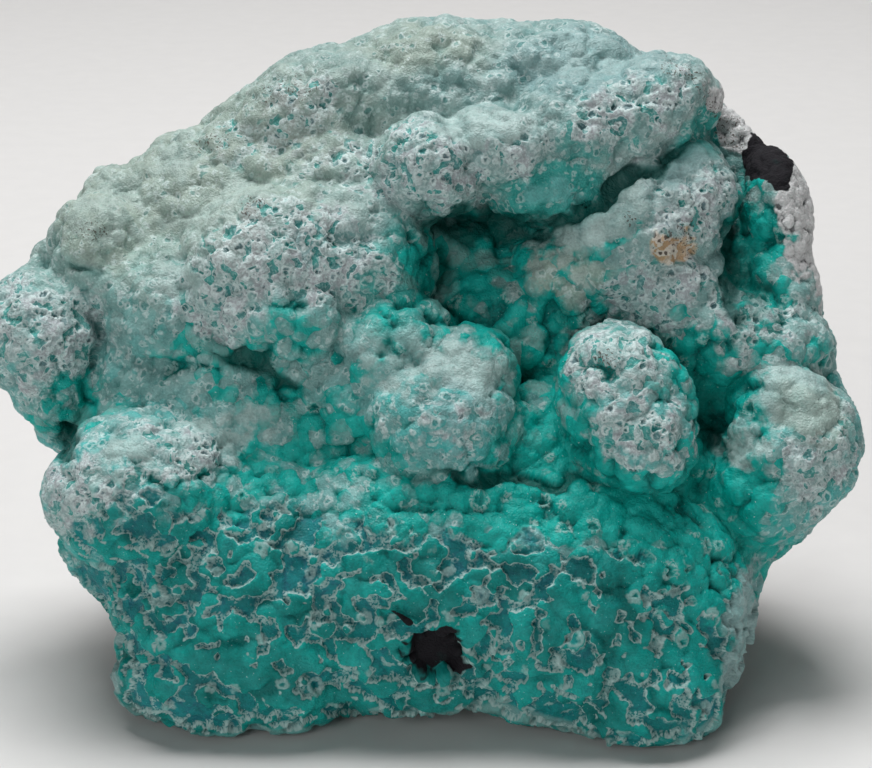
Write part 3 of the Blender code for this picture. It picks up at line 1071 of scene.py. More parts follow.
    def bump(self, shader: bpy.types.Node, strength: float, height: Socket) -> None:
        """Roughens a shader's surface below what the mesh can show.

        Args:
            shader: the shader.
            strength: how strong the bump is.
            height: its height in millimetres.
        """
        node = self.add("ShaderNodeBump")
        node.inputs["Strength"].default_value = strength
        node.inputs["Distance"].default_value = MM
        self.plug(node.inputs["Height"], height)
        self.plug(shader.inputs["Normal"], node.outputs[0])


def new_material(name: str) -> tuple[bpy.types.Material, Graph, bpy.types.Node]:
    """Starts a material.

    Args:
        name: the material's name.

    Returns:
        The material, where its nodes go, and its shader.
    """
    made = bpy.data.materials.new(name)
    made.use_nodes = True
    return made, Graph(made.node_tree), made.node_tree.nodes["Principled BSDF"]


def pressed(
    mesh: bpy.types.Mesh, name: str, push: Callable[[Graph], Socket]
) -> bpy.types.Mesh:
    """Presses a relief into a mesh, along its normals.

    Args:
        mesh: the mesh, which keeps what the relief reads.
        name: the new mesh's name.
        push: lays the nodes that work out how far each vertex goes, in metres.

    Returns:
        The new mesh.
    """
    tree = bpy.data.node_groups.new(f"{name}_relief", "GeometryNodeTree")
    for way in ("INPUT", "OUTPUT"):
        tree.interface.new_socket("Geometry", in_out=way, socket_type="NodeSocketGeometry")
    graph = Graph(tree)
    entry = graph.add("NodeGroupInput")
    leave = graph.add("NodeGroupOutput")
    offset = graph.add("ShaderNodeVectorMath", operation="SCALE")
    graph.plug(offset.inputs[0], graph.add("GeometryNodeInputNormal").outputs[0])
    graph.plug(offset.inputs["Scale"], push(graph))
    mover = graph.add("GeometryNodeSetPosition")
    graph.plug(mover.inputs["Geometry"], entry.outputs[0])
    graph.plug(mover.inputs["Offset"], offset.outputs[0])
    graph.plug(leave.inputs[0], mover.outputs[0])
    whole = link(f"{name}_whole", mesh)
    whole.modifiers.new("relief", "NODES").node_group = tree
    return finished(whole, name)


class Pits(NamedTuple):
    """Round pits: how much of one is here, how much of its rim, and two random numbers."""

    inside: Socket
    rim: Socket
    first: Socket
    second: Socket


class Weave(NamedTuple):
    """The crust's patterns, as the shape and the finish both read them."""

    height: Socket
    crackle: Socket
    druse: Socket
    islands: Socket
    matrix: Socket
    smooth: Socket
    coarse: Pits
    fine: Pits
    rings: Pits
    inlet: Pits
    ball: Socket
    ball_tint: Socket
    big: Socket
    big_tint: Socket
    grain: Socket
    raised: Socket
    contour: Socket
    fringe: Socket
    lump: Socket
    ragged: Socket


@dataclass(frozen=True)
class Relief:
    """The crust's fine shape: pits, rims, balls and islands. Sizes and heights are millimetres."""

    bend_size: float = 1.6
    bend_reach: float = 0.9
    crinkle_size: float = 0.42
    crinkle_reach: float = 0.46
    ruffle_reach: float = 0.14
    coarse_pit: float = 1.05
    fine_pit: float = 0.6
    ring_pit: float = 2.1
    ball_size: float = 1.45
    big_ball_size: float = 2.5
    bead_size: float = 0.55
    island_size: float = 2.4
    inlet_size: float = 1.1
    grain_size: float = 0.85
    skin_height: float = 0.9
    pit_depth: float = 0.22
    rim_height: float = 0.10
    island_height: float = 0.18

    def pits(self, graph: Graph, place: Socket, size: float, small: float, spread: float,
             rim: float) -> Pits:
        """Lays round pits of mixed sizes.

        Args:
            graph: where the nodes go.
            place: the bent place that they are read at.
            size: how far apart they are.
            small: the smallest radius, as a share of the size.
            spread: how much larger the largest radius is.
            rim: the rim's width, as a share of the size.

        Returns:
            The pits.
        """
        distance, first, second = graph.cells(place, size)
        radius = graph.math("MULTIPLY_ADD", graph.times(first, first), spread, small)
        reach = graph.math("SUBTRACT", distance, radius)
        inside = graph.inverse(graph.step(reach, -0.14, 0.0))
        return Pits(inside, graph.near(reach, 0.4 * rim, rim), first, second)

    def lay(self, graph: Graph) -> Weave:
        """Lays all of the patterns.

        Args:
            graph: where the nodes go.

        Returns:
            The patterns.
        """
        rest = graph.attribute("rest")
        crackle_share, druse_share, island_share = graph.split(graph.attribute("zones"))
        _, blue_share, smooth_share = graph.split(graph.attribute("tints"))
        _, matrix_share, black_share = graph.split(graph.attribute("marks"))
        exposure, _, teal_share = graph.split(graph.attribute("form"))
        bent = graph.moved(rest, graph.swing(rest, self.bend_size), self.bend_reach)
        frayed = graph.moved(
            bent, graph.swing(rest, self.crinkle_size, 1.0), self.crinkle_reach
        )
        distance, ball_tint, _ = graph.cells(bent, self.ball_size)
        ball = graph.ball(distance, 0.80)
        big_distance, big_tint, _ = graph.cells(bent, self.big_ball_size)
        big = graph.ball(big_distance, 0.82)
        tip = graph.mix(0.5, ball, big)

        ragged, _ = graph.noise(frayed, 1.8, 2.0)
        ragged = graph.math("MULTIPLY_ADD", ragged, 1.4, -0.7)
        smooth = graph.step(graph.math("ADD", smooth_share, ragged), 0.40, 0.80)
        lumpy = graph.inverse(smooth)
        crackle = graph.times(
            graph.step(graph.math("ADD", crackle_share, ragged), 0.30, 0.62), lumpy
        )
        tilt = graph.total(
            druse_share,
            graph.times(crackle_share, -0.7),
            graph.times(ragged, -1.0),
            graph.math("MULTIPLY_ADD", exposure, -0.7, 0.5),
            graph.math("MULTIPLY_ADD", tip, -0.9, 0.52),
            graph.math("MULTIPLY_ADD", ball_tint, 0.8, -0.4),
        )
        druse = graph.times(
            graph.step(tilt, 0.02, 0.48), lumpy, graph.step(druse_share, 0.02, 0.35))
        islands = graph.step(graph.total(
            island_share, graph.times(druse_share, -0.45), ragged), 0.30, 0.60)
        matrix = graph.step(graph.math("ADD", matrix_share, ragged), 0.40, 0.60)

        coarse = self.pits(graph, frayed, self.coarse_pit, 0.12, 0.34, 0.16)
        fine = self.pits(graph, frayed, self.fine_pit, 0.08, 0.44, 0.24)
        rings = self.pits(graph, frayed, self.ring_pit, 0.12, 0.24, 0.15)
        has_ring = graph.step(rings.second, 0.62, 0.66)
        rings = Pits(
            graph.times(rings.inside, has_ring), graph.times(rings.rim, has_ring),
            rings.first, rings.second,
        )
        bead_distance, _, _ = graph.cells(bent, self.bead_size)
        bead = graph.ball(bead_distance, 0.8)
        grain_distance, _, _ = graph.cells(frayed, self.grain_size)
        grain = graph.ball(grain_distance, 0.85)

        ruffled = graph.moved(
            bent, graph.swing(rest, self.crinkle_size, 1.0), self.ruffle_reach
        )
        island, _ = graph.noise(ruffled, self.island_size, 0.6)
        creek, _ = graph.noise(graph.moved(ruffled, (31.0, 17.0, 5.0)), self.inlet_size, 0.5)
        level = graph.total(
            graph.mix(0.40, island, creek),
            graph.times(teal_share, 0.035),
            graph.times(blue_share, -0.022),
        )
        raised = graph.step(level, 0.466, 0.506)
        contour = graph.near(level, 0.486, 0.018)
        fringe = graph.near(level, 0.462, 0.045)
        inlet = Pits(
            graph.inverse(graph.step(creek, 0.385, 0.412)), graph.near(creek, 0.412, 0.022),
            creek, creek,
        )

        cloud, _ = graph.noise(rest, 3.2, 2.0)
        lump, _ = graph.noise(rest, 1.0, 1.5)
        skin_height = graph.total(
            graph.math("MULTIPLY_ADD", cloud, self.skin_height, -0.5 * self.skin_height),
            graph.math("MULTIPLY_ADD", lump, 0.20, -0.10),
            graph.times(graph.math("SUBTRACT", big, 0.6), 0.70),
            graph.times(graph.math("SUBTRACT", ball, 0.6), 0.30),
        )
        rough_height = graph.total(
            graph.times(coarse.inside, -self.pit_depth),
            graph.times(coarse.rim, self.rim_height),
            graph.times(fine.inside, -0.10),
            graph.times(fine.rim, 0.04),
            graph.times(inlet.inside, -0.18),
            graph.times(inlet.rim, 0.08),
        )
        druse_height = graph.total(
            graph.times(ball, 0.40),
            graph.times(big, 1.05),
            graph.times(bead, 0.12),
            -0.90,
        )
        island_height = graph.total(
            graph.times(raised, self.island_height),
            graph.times(big, graph.math("MULTIPLY_ADD", raised, 0.50, 0.25)),
            graph.times(ball, graph.math("MULTIPLY_ADD", raised, 0.15, 0.05)),
            graph.times(contour, 0.10),
            graph.times(grain, graph.math("MULTIPLY_ADD", raised, -0.10, 0.18)),
            -0.54,
        )
        ring_height = graph.total(
            graph.times(rings.inside, -0.26),
            graph.times(rings.rim, 0.10),
        )
        matrix_height = graph.math("MULTIPLY_ADD", grain, 0.45, -0.2)
        height = graph.total(skin_height, graph.times(
            rough_height, graph.math("MAXIMUM", crackle, graph.times(lumpy, 0.25))))
        height = graph.mix(druse, height, druse_height)
        height = graph.mix(islands, height, island_height)
        height = graph.math("ADD", height, graph.times(
            ring_height, graph.math("MAXIMUM", druse, islands)))
        height = graph.mix(matrix, height, matrix_height)
        height = graph.mix(black_share, height, graph.times(grain, 0.3))
        return Weave(
            height, crackle, druse, islands, matrix, smooth, coarse, fine, rings, inlet,
            ball, ball_tint, big, big_tint, grain, raised, contour, fringe, lump, ragged,
        )

    def push(self, graph: Graph) -> Socket:
        """Works out how far the relief pushes the crust's skin out.

        Args:
            graph: where the nodes go.

        Returns:
            Metres along the normal.
        """
        _, edge, _ = graph.split(graph.attribute("form"))
        return graph.times(self.lay(graph).height, edge, MM)


@dataclass(frozen=True)
class CrustFinish:
    """The mineral's finish, from waxy pale skin to saturated druse. Sizes are millimetres."""

    relief: Relief = Relief()
    skin: Colour = (0.24, 0.40, 0.39)
    skin_pale: Colour = (0.34, 0.46, 0.445)
    skin_teal: Colour = (0.07, 0.43, 0.41)
    # deep teal of pit floors, also painted shade in recesses and between balls
    skin_deep_and_shade: Colour = (0.025, 0.22, 0.21)
    warm: Colour = (0.38, 0.45, 0.38)
    blue: Colour = (0.23, 0.39, 0.40)
    wax: Colour = (0.42, 0.56, 0.54)
    crust: Colour = (0.34, 0.50, 0.49)
    mauve: Colour = (0.39, 0.43, 0.45)
    # white frost of the rims and crackle, also the colour of the painted glints
    frost_and_glint: Colour = (0.62, 0.74, 0.73)
    # teal of pit floors and inlets, also painted shade between the crackle's balls
    pit_teal_and_shade: Colour = (0.02, 0.27, 0.26)
    pit_grey: Colour = (0.11, 0.21, 0.23)
    druse: Colour = (0.001, 0.37, 0.32)
    druse_pale: Colour = (0.015, 0.46, 0.405)
    # deep teal of ring pits and dark patches, also painted shade between the balls
    druse_deep_and_shade: Colour = (0.001, 0.09, 0.085)
    # painted shade multiplied into the crevices
    shaded_groove: Colour = (0.10, 0.22, 0.21)
    plate: Colour = (0.002, 0.35, 0.31)
    plate_pale: Colour = (0.025, 0.42, 0.385)
    hollow: Colour = (0.006, 0.19, 0.205)
    hollow_blue: Colour = (0.022, 0.185, 0.23)
    cream: Colour = (0.40, 0.56, 0.54)
    stain: Colour = (0.07, 0.05, 0.035)
    tan: Colour = (0.50, 0.34, 0.20)
    tan_pale: Colour = (0.66, 0.60, 0.52)
    matrix: Colour = (0.66, 0.67, 0.67)
    matrix_dark: Colour = (0.20, 0.21, 0.215)
    black: Colour = (0.012, 0.011, 0.014)
    grit_size: float = 0.16
    dust_size: float = 0.22
    patch_size: float = 2.2
    broad_size: float = 4.5
    # teal low on the face, paler higher up: partly painted light from above, partly the crust's
    # paler coat
    teal_to_pale_up: tuple[float, float] = (24.0, 52.0)
    pearl_up: tuple[float, float] = (27.0, 31.0)
    pearl_across: tuple[float, float] = (21.0, 26.0)

    def material(self) -> bpy.types.Material:
        """Makes the material.

        Returns:
            The material.
        """
        made, graph, shader = new_material("smithsonite_crust")
        weave = self.relief.lay(graph)
        rest = graph.attribute("rest")
        warm, blue, _ = graph.split(graph.attribute("tints"))
        stain, _, black = graph.split(graph.attribute("marks"))
        exposure, _, teal = graph.split(graph.attribute("form"))
        tan, inland, shade = graph.split(graph.attribute("trim"))
        dust, _ = graph.noise(rest, self.dust_size, 1.0)
        patchy, _ = graph.noise(rest, self.patch_size, 3.0)

        skin = self._skin(graph, weave, (warm, blue, teal), exposure, patchy, dust)
        crackle = self._crackle(graph, weave, warm, patchy, dust)
        druse = self._druse(graph, weave, patchy, dust)
        islands = self._islands(graph, weave, blue, patchy, dust)
        colour = graph.blend(weave.crackle, skin, crackle)
        colour = graph.blend(weave.druse, colour, druse)
        colour = graph.blend(weave.islands, colour, islands)
        wax = graph.blend(graph.step(patchy, 0.2, 0.5), self.skin, self.wax)
        wax = graph.blend(graph.times(teal, 0.8), wax, self.skin_teal)
        wax = graph.blend(graph.times(graph.step(warm, 0.2, 0.8), 0.4), wax, self.warm)
        wax = graph.blend(graph.times(graph.step(blue, 0.2, 0.8), 0.5), wax, self.blue)
        colour = graph.blend(graph.times(weave.smooth, 0.85), colour, wax)
        matrix = graph.blend(graph.step(weave.grain, 0.1, 0.7), self.matrix_dark, self.matrix)
        colour = graph.blend(weave.matrix, colour, matrix)
        lumpiness = graph.math("MULTIPLY_ADD", weave.lump, 1.4, -0.7)
        tip = graph.step(graph.math("ADD", tan, graph.times(lumpiness, 0.7)), 0.35, 0.65)
        bread = graph.blend(graph.step(weave.fine.first, 0.3, 0.7), self.tan, self.tan_pale)
        bread = graph.blend(graph.times(weave.fine.inside, 0.9), bread, self.stain)
        colour = graph.blend(tip, colour, bread)
        speck = graph.times(
            graph.step(graph.math("ADD", stain, lumpiness), 0.50, 0.80),
            graph.step(dust, 0.56, 0.64),
            0.8,
        )
        colour = graph.blend(speck, colour, self.stain)
        dark = graph.step(graph.total(
            black, graph.times(lumpiness, 0.6), graph.times(weave.ragged, 0.25)), 0.40, 0.52)
        mottle = graph.total(
            graph.times(dust, 0.5), graph.times(weave.lump, 0.5), graph.times(patchy, 0.5), 0.22
        )
        colour = graph.blend(1.0, colour, mottle, "MULTIPLY")
        colour = graph.blend(dark, colour, self.black)
        edge = graph.near(inland, 0.8, 0.7)
        colour = graph.blend(graph.times(edge, 0.4), colour, self.cream)
        # painted shade in the crevices: half tinted to the druse's teal, then darkened
        shaded = graph.step(graph.math("ADD", shade, graph.times(weave.ragged, 0.6)), 0.1, 0.8)
        colour = graph.blend(graph.times(shaded, 0.5), colour, self.druse)
        colour = graph.blend(graph.times(shaded, 0.9), colour, self.shaded_groove, "MULTIPLY")
        graph.plug(shader.inputs["Base Color"], colour)

        rough = graph.mix(weave.crackle, 0.42, 0.60)
        rough = graph.mix(weave.druse, rough, 0.46)
        rough = graph.mix(weave.islands, rough, 0.52)
        rough = graph.mix(weave.smooth, rough, 0.34)
        rough = graph.mix(dark, rough, 0.85)
        rough = graph.math("MULTIPLY_ADD", dust, 0.2, graph.math("SUBTRACT", rough, 0.1))
        graph.plug(shader.inputs["Roughness"], rough)
        shader.inputs["Specular IOR Level"].default_value = 0.20
        shader.inputs["Subsurface Weight"].default_value = 0.12
        shader.inputs["Subsurface Radius"].default_value = (0.7, 1.0, 0.9)
        shader.inputs["Subsurface Scale"].default_value = 0.5 * MM
        grit, _ = graph.noise(rest, self.grit_size, 1.0)
        graph.bump(shader, 0.8, graph.total(graph.times(grit, 0.10), graph.times(dust, 0.12)))
        return made

    def _skin(self, graph: Graph, weave: Weave, tints: tuple[Socket, Socket, Socket],
              exposure: Socket, patchy: Socket, dust: Socket) -> Socket:
        """Colours the waxy skin.

        Args:
            graph: where the nodes go.
            weave: the crust's patterns.
            tints: the shares of warm, blue and teal.
            exposure: how open the place is.
            patchy: patchy noise.
            dust: fine noise.

        Returns:
            The colour.
        """
        warm, blue, teal = tints
        colour = graph.blend(graph.step(patchy, 0.35, 0.65), self.skin, self.skin_pale)
        colour = graph.blend(graph.times(graph.step(warm, 0.1, 0.9), 0.8), colour, self.warm)
        colour = graph.blend(graph.times(graph.step(blue, 0.1, 0.9), 0.8), colour, self.blue)
        # paler higher up: partly painted light from above, partly the crust's paler coat
        _, up, _ = graph.split(graph.attribute("rest"))
        frayed_up = graph.math("MULTIPLY_ADD", weave.ragged, 9.0, up)
        low = graph.inverse(graph.step(frayed_up, *self.teal_to_pale_up))
        patchwork = graph.step(graph.mix(0.5, weave.ball_tint, patchy), 0.35, 0.65)
        colour = graph.blend(graph.times(low, graph.math("MULTIPLY_ADD", patchwork, 0.55, 0.40)),
                             colour, self.skin_teal)
        tip = graph.mix(0.5, weave.ball, weave.big)
        # painted shade between the balls, over the crust's darker teal there
        gap_shade = graph.inverse(graph.step(tip, 0.15, 0.65))
        colour = graph.blend(graph.times(gap_shade, graph.math("MULTIPLY_ADD", low, 0.5, 0.3)),
                             colour, self.skin_deep_and_shade)
        # painted shade in recesses closed to the light, over the crust's deeper teal there
        deep = graph.inverse(graph.step(exposure, 0.25, 0.80))
        colour = graph.blend(graph.times(deep, 0.8), colour, self.skin_deep_and_shade)
        lagoon = graph.step(graph.math("ADD", teal, graph.times(weave.ragged, 0.6)), 0.2, 0.7)
        colour = graph.blend(graph.times(lagoon, 0.85), colour, self.plate)
        some = graph.times(graph.step(weave.fine.second, 0.62, 0.70), 0.45)
        colour = graph.blend(graph.times(weave.fine.inside, some), colour, self.skin_deep_and_shade)
        colour = graph.blend(graph.times(weave.fine.rim, some), colour, self.frost_and_glint)
        sparse = graph.step(weave.coarse.second, 0.60, 0.65)
        colour = graph.blend(graph.times(weave.coarse.inside, sparse, 0.5), colour, self.skin_deep_and_shade)
        colour = graph.blend(graph.times(weave.coarse.rim, sparse, 0.5), colour, self.frost_and_glint)
        return graph.blend(
            graph.times(graph.step(dust, 0.58, 0.72), 0.12), colour, self.frost_and_glint
        )

    def _crackle(self, graph: Graph, weave: Weave, warm: Socket, patchy: Socket,
                 dust: Socket) -> Socket:
        """Colours the frosted crackle: grey-white ground, pits with white rims.

        Args:
            graph: where the nodes go.
            weave: the crust's patterns.
            warm: the share of warm.
            patchy: patchy noise.
            dust: fine noise.

        Returns:
            The colour.
        """
        colour = graph.blend(graph.step(patchy, 0.40, 0.60), self.crust, self.mauve)
        colour = graph.blend(graph.times(graph.step(warm, 0.2, 0.9), 0.6), colour, self.warm)
        # painted shade between the big balls of the crackle
        gap_shade = graph.inverse(graph.step(weave.big, 0.1, 0.6))
        colour = graph.blend(graph.times(gap_shade, 0.4), colour, self.pit_teal_and_shade)
        pit = graph.blend(graph.step(weave.coarse.second, 0.35, 0.65), self.pit_teal_and_shade, self.pit_grey)
        lake = graph.blend(graph.step(patchy, 0.45, 0.60), self.plate, self.pit_teal_and_shade)
        colour = graph.blend(graph.times(weave.fine.inside, 0.60), colour, pit)
        colour = graph.blend(graph.times(weave.fine.rim, 0.5), colour, self.frost_and_glint)
        colour = graph.blend(graph.times(weave.inlet.inside, 0.75), colour, lake)
        colour = graph.blend(graph.times(weave.coarse.inside, 0.85), colour, pit)
        colour = graph.blend(graph.times(weave.coarse.rim, 0.8), colour, self.frost_and_glint)
        colour = graph.blend(graph.times(weave.inlet.rim, 0.8), colour, self.frost_and_glint)
        return graph.blend(graph.times(graph.step(dust, 0.52, 0.66), 0.30), colour, self.frost_and_glint)

    def _druse(self, graph: Graph, weave: Weave, patchy: Socket, dust: Socket) -> Socket:
        """Colours the druse: saturated and pearly balls, gaps darkened with painted shade, frosted
        rings and painted glints.

        Args:
            graph: where the nodes go.
            weave: the crust's patterns.
            patchy: patchy noise.
            dust: fine noise.

        Returns:
            The colour.
        """
        colour = graph.blend(
            graph.step(graph.mix(0.5, weave.ball_tint, patchy), 0.35, 0.8),
            self.druse, self.druse_pale,
        )
        dome = graph.mix(0.7, weave.ball, weave.big)
        # painted shade between the druse balls, over their darker teal
        gap_shade = graph.inverse(graph.step(dome, 0.10, 0.75))
        colour = graph.blend(graph.times(gap_shade, 0.8), colour, self.druse_deep_and_shade)
        across, up, _ = graph.split(graph.attribute("rest"))
        valley = graph.times(
            graph.step(up, *self.pearl_up), graph.inverse(graph.step(across, *self.pearl_across)))
        pearl = graph.times(
            valley, graph.step(weave.big_tint, 0.45, 0.60), graph.step(weave.big, 0.60, 0.92))
        colour = graph.blend(graph.times(pearl, 0.6), colour, self.skin_pale)
        colour = graph.blend(graph.times(graph.step(dust, 0.40, 0.60), 0.25), colour, self.druse)
        colour = graph.blend(graph.times(weave.rings.inside, 0.6), colour, self.druse_deep_and_shade)
        colour = graph.blend(graph.times(weave.rings.rim, graph.step(dust, 0.35, 0.55), 0.6),
                             colour, self.cream)
        # painted glints: bright specks standing in for highlights on the druse
        return graph.blend(graph.times(graph.step(dust, 0.74, 0.80), 0.8), colour, self.frost_and_glint)

    def _islands(self, graph: Graph, weave: Weave, blue: Socket, patchy: Socket,
                 dust: Socket) -> Socket:
        """Colours the lower face: green plates, blue hollows, cream lines between them.

        Args:
            graph: where the nodes go.
            weave: the crust's patterns.
            blue: the share of blue.
            patchy: patchy noise.
            dust: fine noise.

        Returns:
            The colour.
        """
        hollow = graph.blend(graph.step(graph.math("ADD", graph.times(blue, 0.5), patchy),
                                        0.35, 0.85), self.hollow, self.hollow_blue)
        hollow = graph.blend(graph.times(graph.step(weave.grain, 0.4, 0.9), 0.4),
                             hollow, self.plate)
        dusty = graph.times(weave.fringe, graph.step(dust, 0.38, 0.54), 0.75)
        hollow = graph.blend(dusty, hollow, self.cream)
        plate = graph.blend(graph.step(patchy, 0.40, 0.75), self.plate, self.plate_pale)
        # painted shade between the balls of the plates
        gap_shade = graph.inverse(graph.step(graph.mix(0.7, weave.ball, weave.big), 0.10, 0.85))
        plate = graph.blend(graph.times(gap_shade, 0.55), plate, self.druse_deep_and_shade)
        crumb = graph.inverse(graph.step(weave.grain, 0.15, 0.65))
        plate = graph.blend(graph.times(crumb, 0.30), plate, self.hollow)
        colour = graph.blend(weave.raised, hollow, plate)
        broad, _ = graph.noise(graph.attribute("rest"), self.broad_size, 2.0)
        colour = graph.blend(graph.times(graph.step(broad, 0.42, 0.62), 0.45), colour,
                             self.druse_deep_and_shade)
        colour = graph.blend(graph.times(weave.rings.inside, 0.7), colour, hollow)
        colour = graph.blend(graph.times(weave.rings.rim, 0.6), colour, self.cream)
        colour = graph.blend(graph.times(weave.contour, graph.step(dust, 0.22, 0.46), 0.9),
                             colour, self.cream)
        # painted glints: bright specks standing in for highlights on the lower face
        return graph.blend(graph.times(graph.step(dust, 0.72, 0.80), 0.5), colour, self.frost_and_glint)


@dataclass(frozen=True)
class RockFinish:
    """Broken host rock: pale grey with rusty and black stains. Sizes are millimetres."""

    pale: Colour = (0.36, 0.36, 0.35)
    dark: Colour = (0.13, 0.13, 0.13)
    rust: Colour = (0.20, 0.12, 0.06)
    black: Colour = (0.015, 0.014, 0.016)
    green: Colour = (0.20, 0.33, 0.30)
    broad_size: float = 9.0
    patch_size: float = 4.0
    crumb_size: float = 1.6
    grain_size: float = 0.5
    break_size: float = 6.0
    chip_size: float = 2.2
    grit_size: float = 0.9

    def material(self) -> bpy.types.Material:
        """Makes the material.

        Returns:
            The material.
        """
        made, graph, shader = new_material("host_rock")
        rest = graph.attribute("rest")
        broad, _ = graph.noise(rest, self.broad_size, 4.0)
        patchy, _ = graph.noise(graph.moved(rest, (40.0, 3.0, 8.0)), self.patch_size, 4.0)
        grain, _ = graph.noise(rest, self.grain_size, 2.0)
        crumbled = graph.moved(rest, graph.swing(rest, 2.0), 1.2)
        distance, tint, _ = graph.cells(crumbled, self.crumb_size)
        colour = graph.blend(graph.step(graph.mix(0.5, broad, grain), 0.38, 0.62),
                             self.dark, self.pale)
        colour = graph.blend(graph.times(graph.step(tint, 0.3, 0.7), 0.22), colour, self.dark)
        colour = graph.blend(graph.times(graph.step(patchy, 0.50, 0.68), 0.6), colour, self.rust)
        colour = graph.blend(graph.times(graph.inverse(graph.step(patchy, 0.32, 0.44)), 0.6),
                             colour, self.green)
        soot = graph.times(graph.step(broad, 0.58, 0.66), graph.step(grain, 0.44, 0.54))
        colour = graph.blend(graph.times(soot, 0.85), colour, self.black)
        colour = graph.blend(graph.times(graph.step(grain, 0.52, 0.72), 0.4), colour, self.pale)
        graph.plug(shader.inputs["Base Color"], colour)
        graph.plug(shader.inputs["Roughness"], graph.math("MULTIPLY_ADD", grain, 0.3, 0.62))
        graph.bump(shader, 0.7, graph.total(
            graph.times(distance, 0.25), graph.times(grain, 0.25)))
        return made

    def push(self, graph: Graph) -> Socket:
        """Works out how far the rock's breaks push its surface out.

        Args:
            graph: where the nodes go.

        Returns:
            Metres along the normal.
        """
        rest = graph.attribute("rest")
        _, _, bare = graph.split(graph.attribute("form"))
        bent = graph.moved(rest, graph.swing(rest, 5.0), 3.0)
        _, step, _ = graph.cells(bent, self.break_size)
        _, chip, _ = graph.cells(bent, self.chip_size)
        grit, _ = graph.noise(rest, self.grit_size, 3.0)
        height = graph.total(
            graph.math("MULTIPLY_ADD", step, 1.2, -0.8),
            graph.math("MULTIPLY_ADD", chip, 0.6, -0.4),
            graph.math("MULTIPLY_ADD", grit, 1.4, -0.7),
        )
        return graph.times(height, bare, MM)


@dataclass(frozen=True)
class PaperFinish:
    """The pale paper that the specimen stands on, with faint fibres. The size is metres."""

    tone: Colour = (0.74, 0.73, 0.72)
    fibre_size: float = 0.004
    fibre_shade: float = 0.94

    def material(self) -> bpy.types.Material:
        """Makes the material.

        Returns:
            The material.
        """
        made, graph, shader = new_material("backdrop_paper")
        place = graph.add("ShaderNodeTexCoord").outputs["Object"]
        fibre, _ = graph.noise(place, self.fibre_size, 3.0)
        darker = tuple(self.fibre_shade * part for part in self.tone)
        graph.plug(shader.inputs["Base Color"], graph.blend(fibre, darker, self.tone))
        shader.inputs["Roughness"].default_value = 0.85
        return made


@dataclass
class Crust:
    """The mineral crust: fine lobes with pits, rims and balls, cut into bands by height."""

    growth: Growth
    frame: FaceFrame
    chart: CrustMap = field(default_factory=CrustMap)
    finish: CrustFinish = field(default_factory=CrustFinish)
    voxel: float = 0.2
    quick_voxel: float = 0.4
    bands: tuple[tuple[str, float], ...] = (
        ("crust_top", 51.0), ("crust_brow", 42.0), ("crust_upper", 29.0), ("crust_lower", 14.0),
        ("crust_foot", -99.0),
    )
    tuck_depth: float = 0.9
    edge_overlap: float = 0.8
    floor_gap: float = 0.02

    def build(self) -> list[bpy.types.Object]:
        """Builds the crust's pieces.

        Returns:
            The pieces, from the top down.
        """
        voxel = self.voxel
        skin = self.growth.skin(voxel, "crust_skin")
        points = points_of(skin)
        places = self.frame.to_face(points)
        cover = self._cover(points, places)
        shares = self.chart.shares(places)
        shares["form"][:, 0] = Exposure(self.growth).measure(points)
        sunk = self.chart.hollow(places)
        calm = 1.0 - 0.7 * sunk / self.chart.hollow_depth
        shares["form"][:, 1] = smoothstep(cover, 0.2, 1.6) * calm
        tuck = self.tuck_depth * (1.0 - smoothstep(cover, -self.edge_overlap, 1.0))
        # the crevices darkened with painted shade are also sunk a little
        shaded_groove = self.chart.groove_depth * smoothstep(shares["trim"][:, 2], 0.2, 0.9)
        inwards = normals_of(skin) * (tuck + sunk + shaded_groove)[:, None] * MM
        move_points(skin, points - inwards)
        store(skin, "rest", places)
        for name, values in shares.items():
            store(skin, name, values)
        mesh = pressed(skin, "crust", self.finish.relief.push)
        moved = points_of(mesh)
        moved[:, 2] = np.maximum(moved[:, 2], self.floor_gap * MM)
        move_points(mesh, moved)
        return self._bands(mesh, cover, places)

    def _cover(self, points: np.ndarray, places: np.ndarray) -> np.ndarray:
        """How far inside the crust's edge each place lies, the floor counted as an edge too.

        Args:
            points: the places in metres.
            places: the places in the face frame.

        Returns:
            Millimetres, less than 0 where the rock is bare.
        """
        return np.minimum(self.chart.cover(places), (points[:, 2] / MM - 0.3) * 2.0)

    def _bands(self, mesh: bpy.types.Mesh, cover: np.ndarray,
               places: np.ndarray) -> list[bpy.types.Object]:
        """Cuts the crust into bands, so that no piece is too heavy.

        Args:
            mesh: the whole skin with its relief.
            cover: how far inside the crust's edge each vertex lies.
            places: the vertices' places in the face frame.

        Returns:
            The pieces.
        """
        first = first_corners(mesh)
        crusted = cover[first] > -self.edge_overlap
        up = places[first, 1]
        material = self.finish.material()
        pieces = []
        ceiling = np.inf
        for name, floor in self.bands:
            kept = crusted & (up < ceiling) & (up >= floor)
            piece = link(name, cut_out(mesh, kept, name))
            piece.data.materials.append(material)
            pieces.append(piece)
            ceiling = floor
        bpy.data.meshes.remove(mesh)
        return pieces


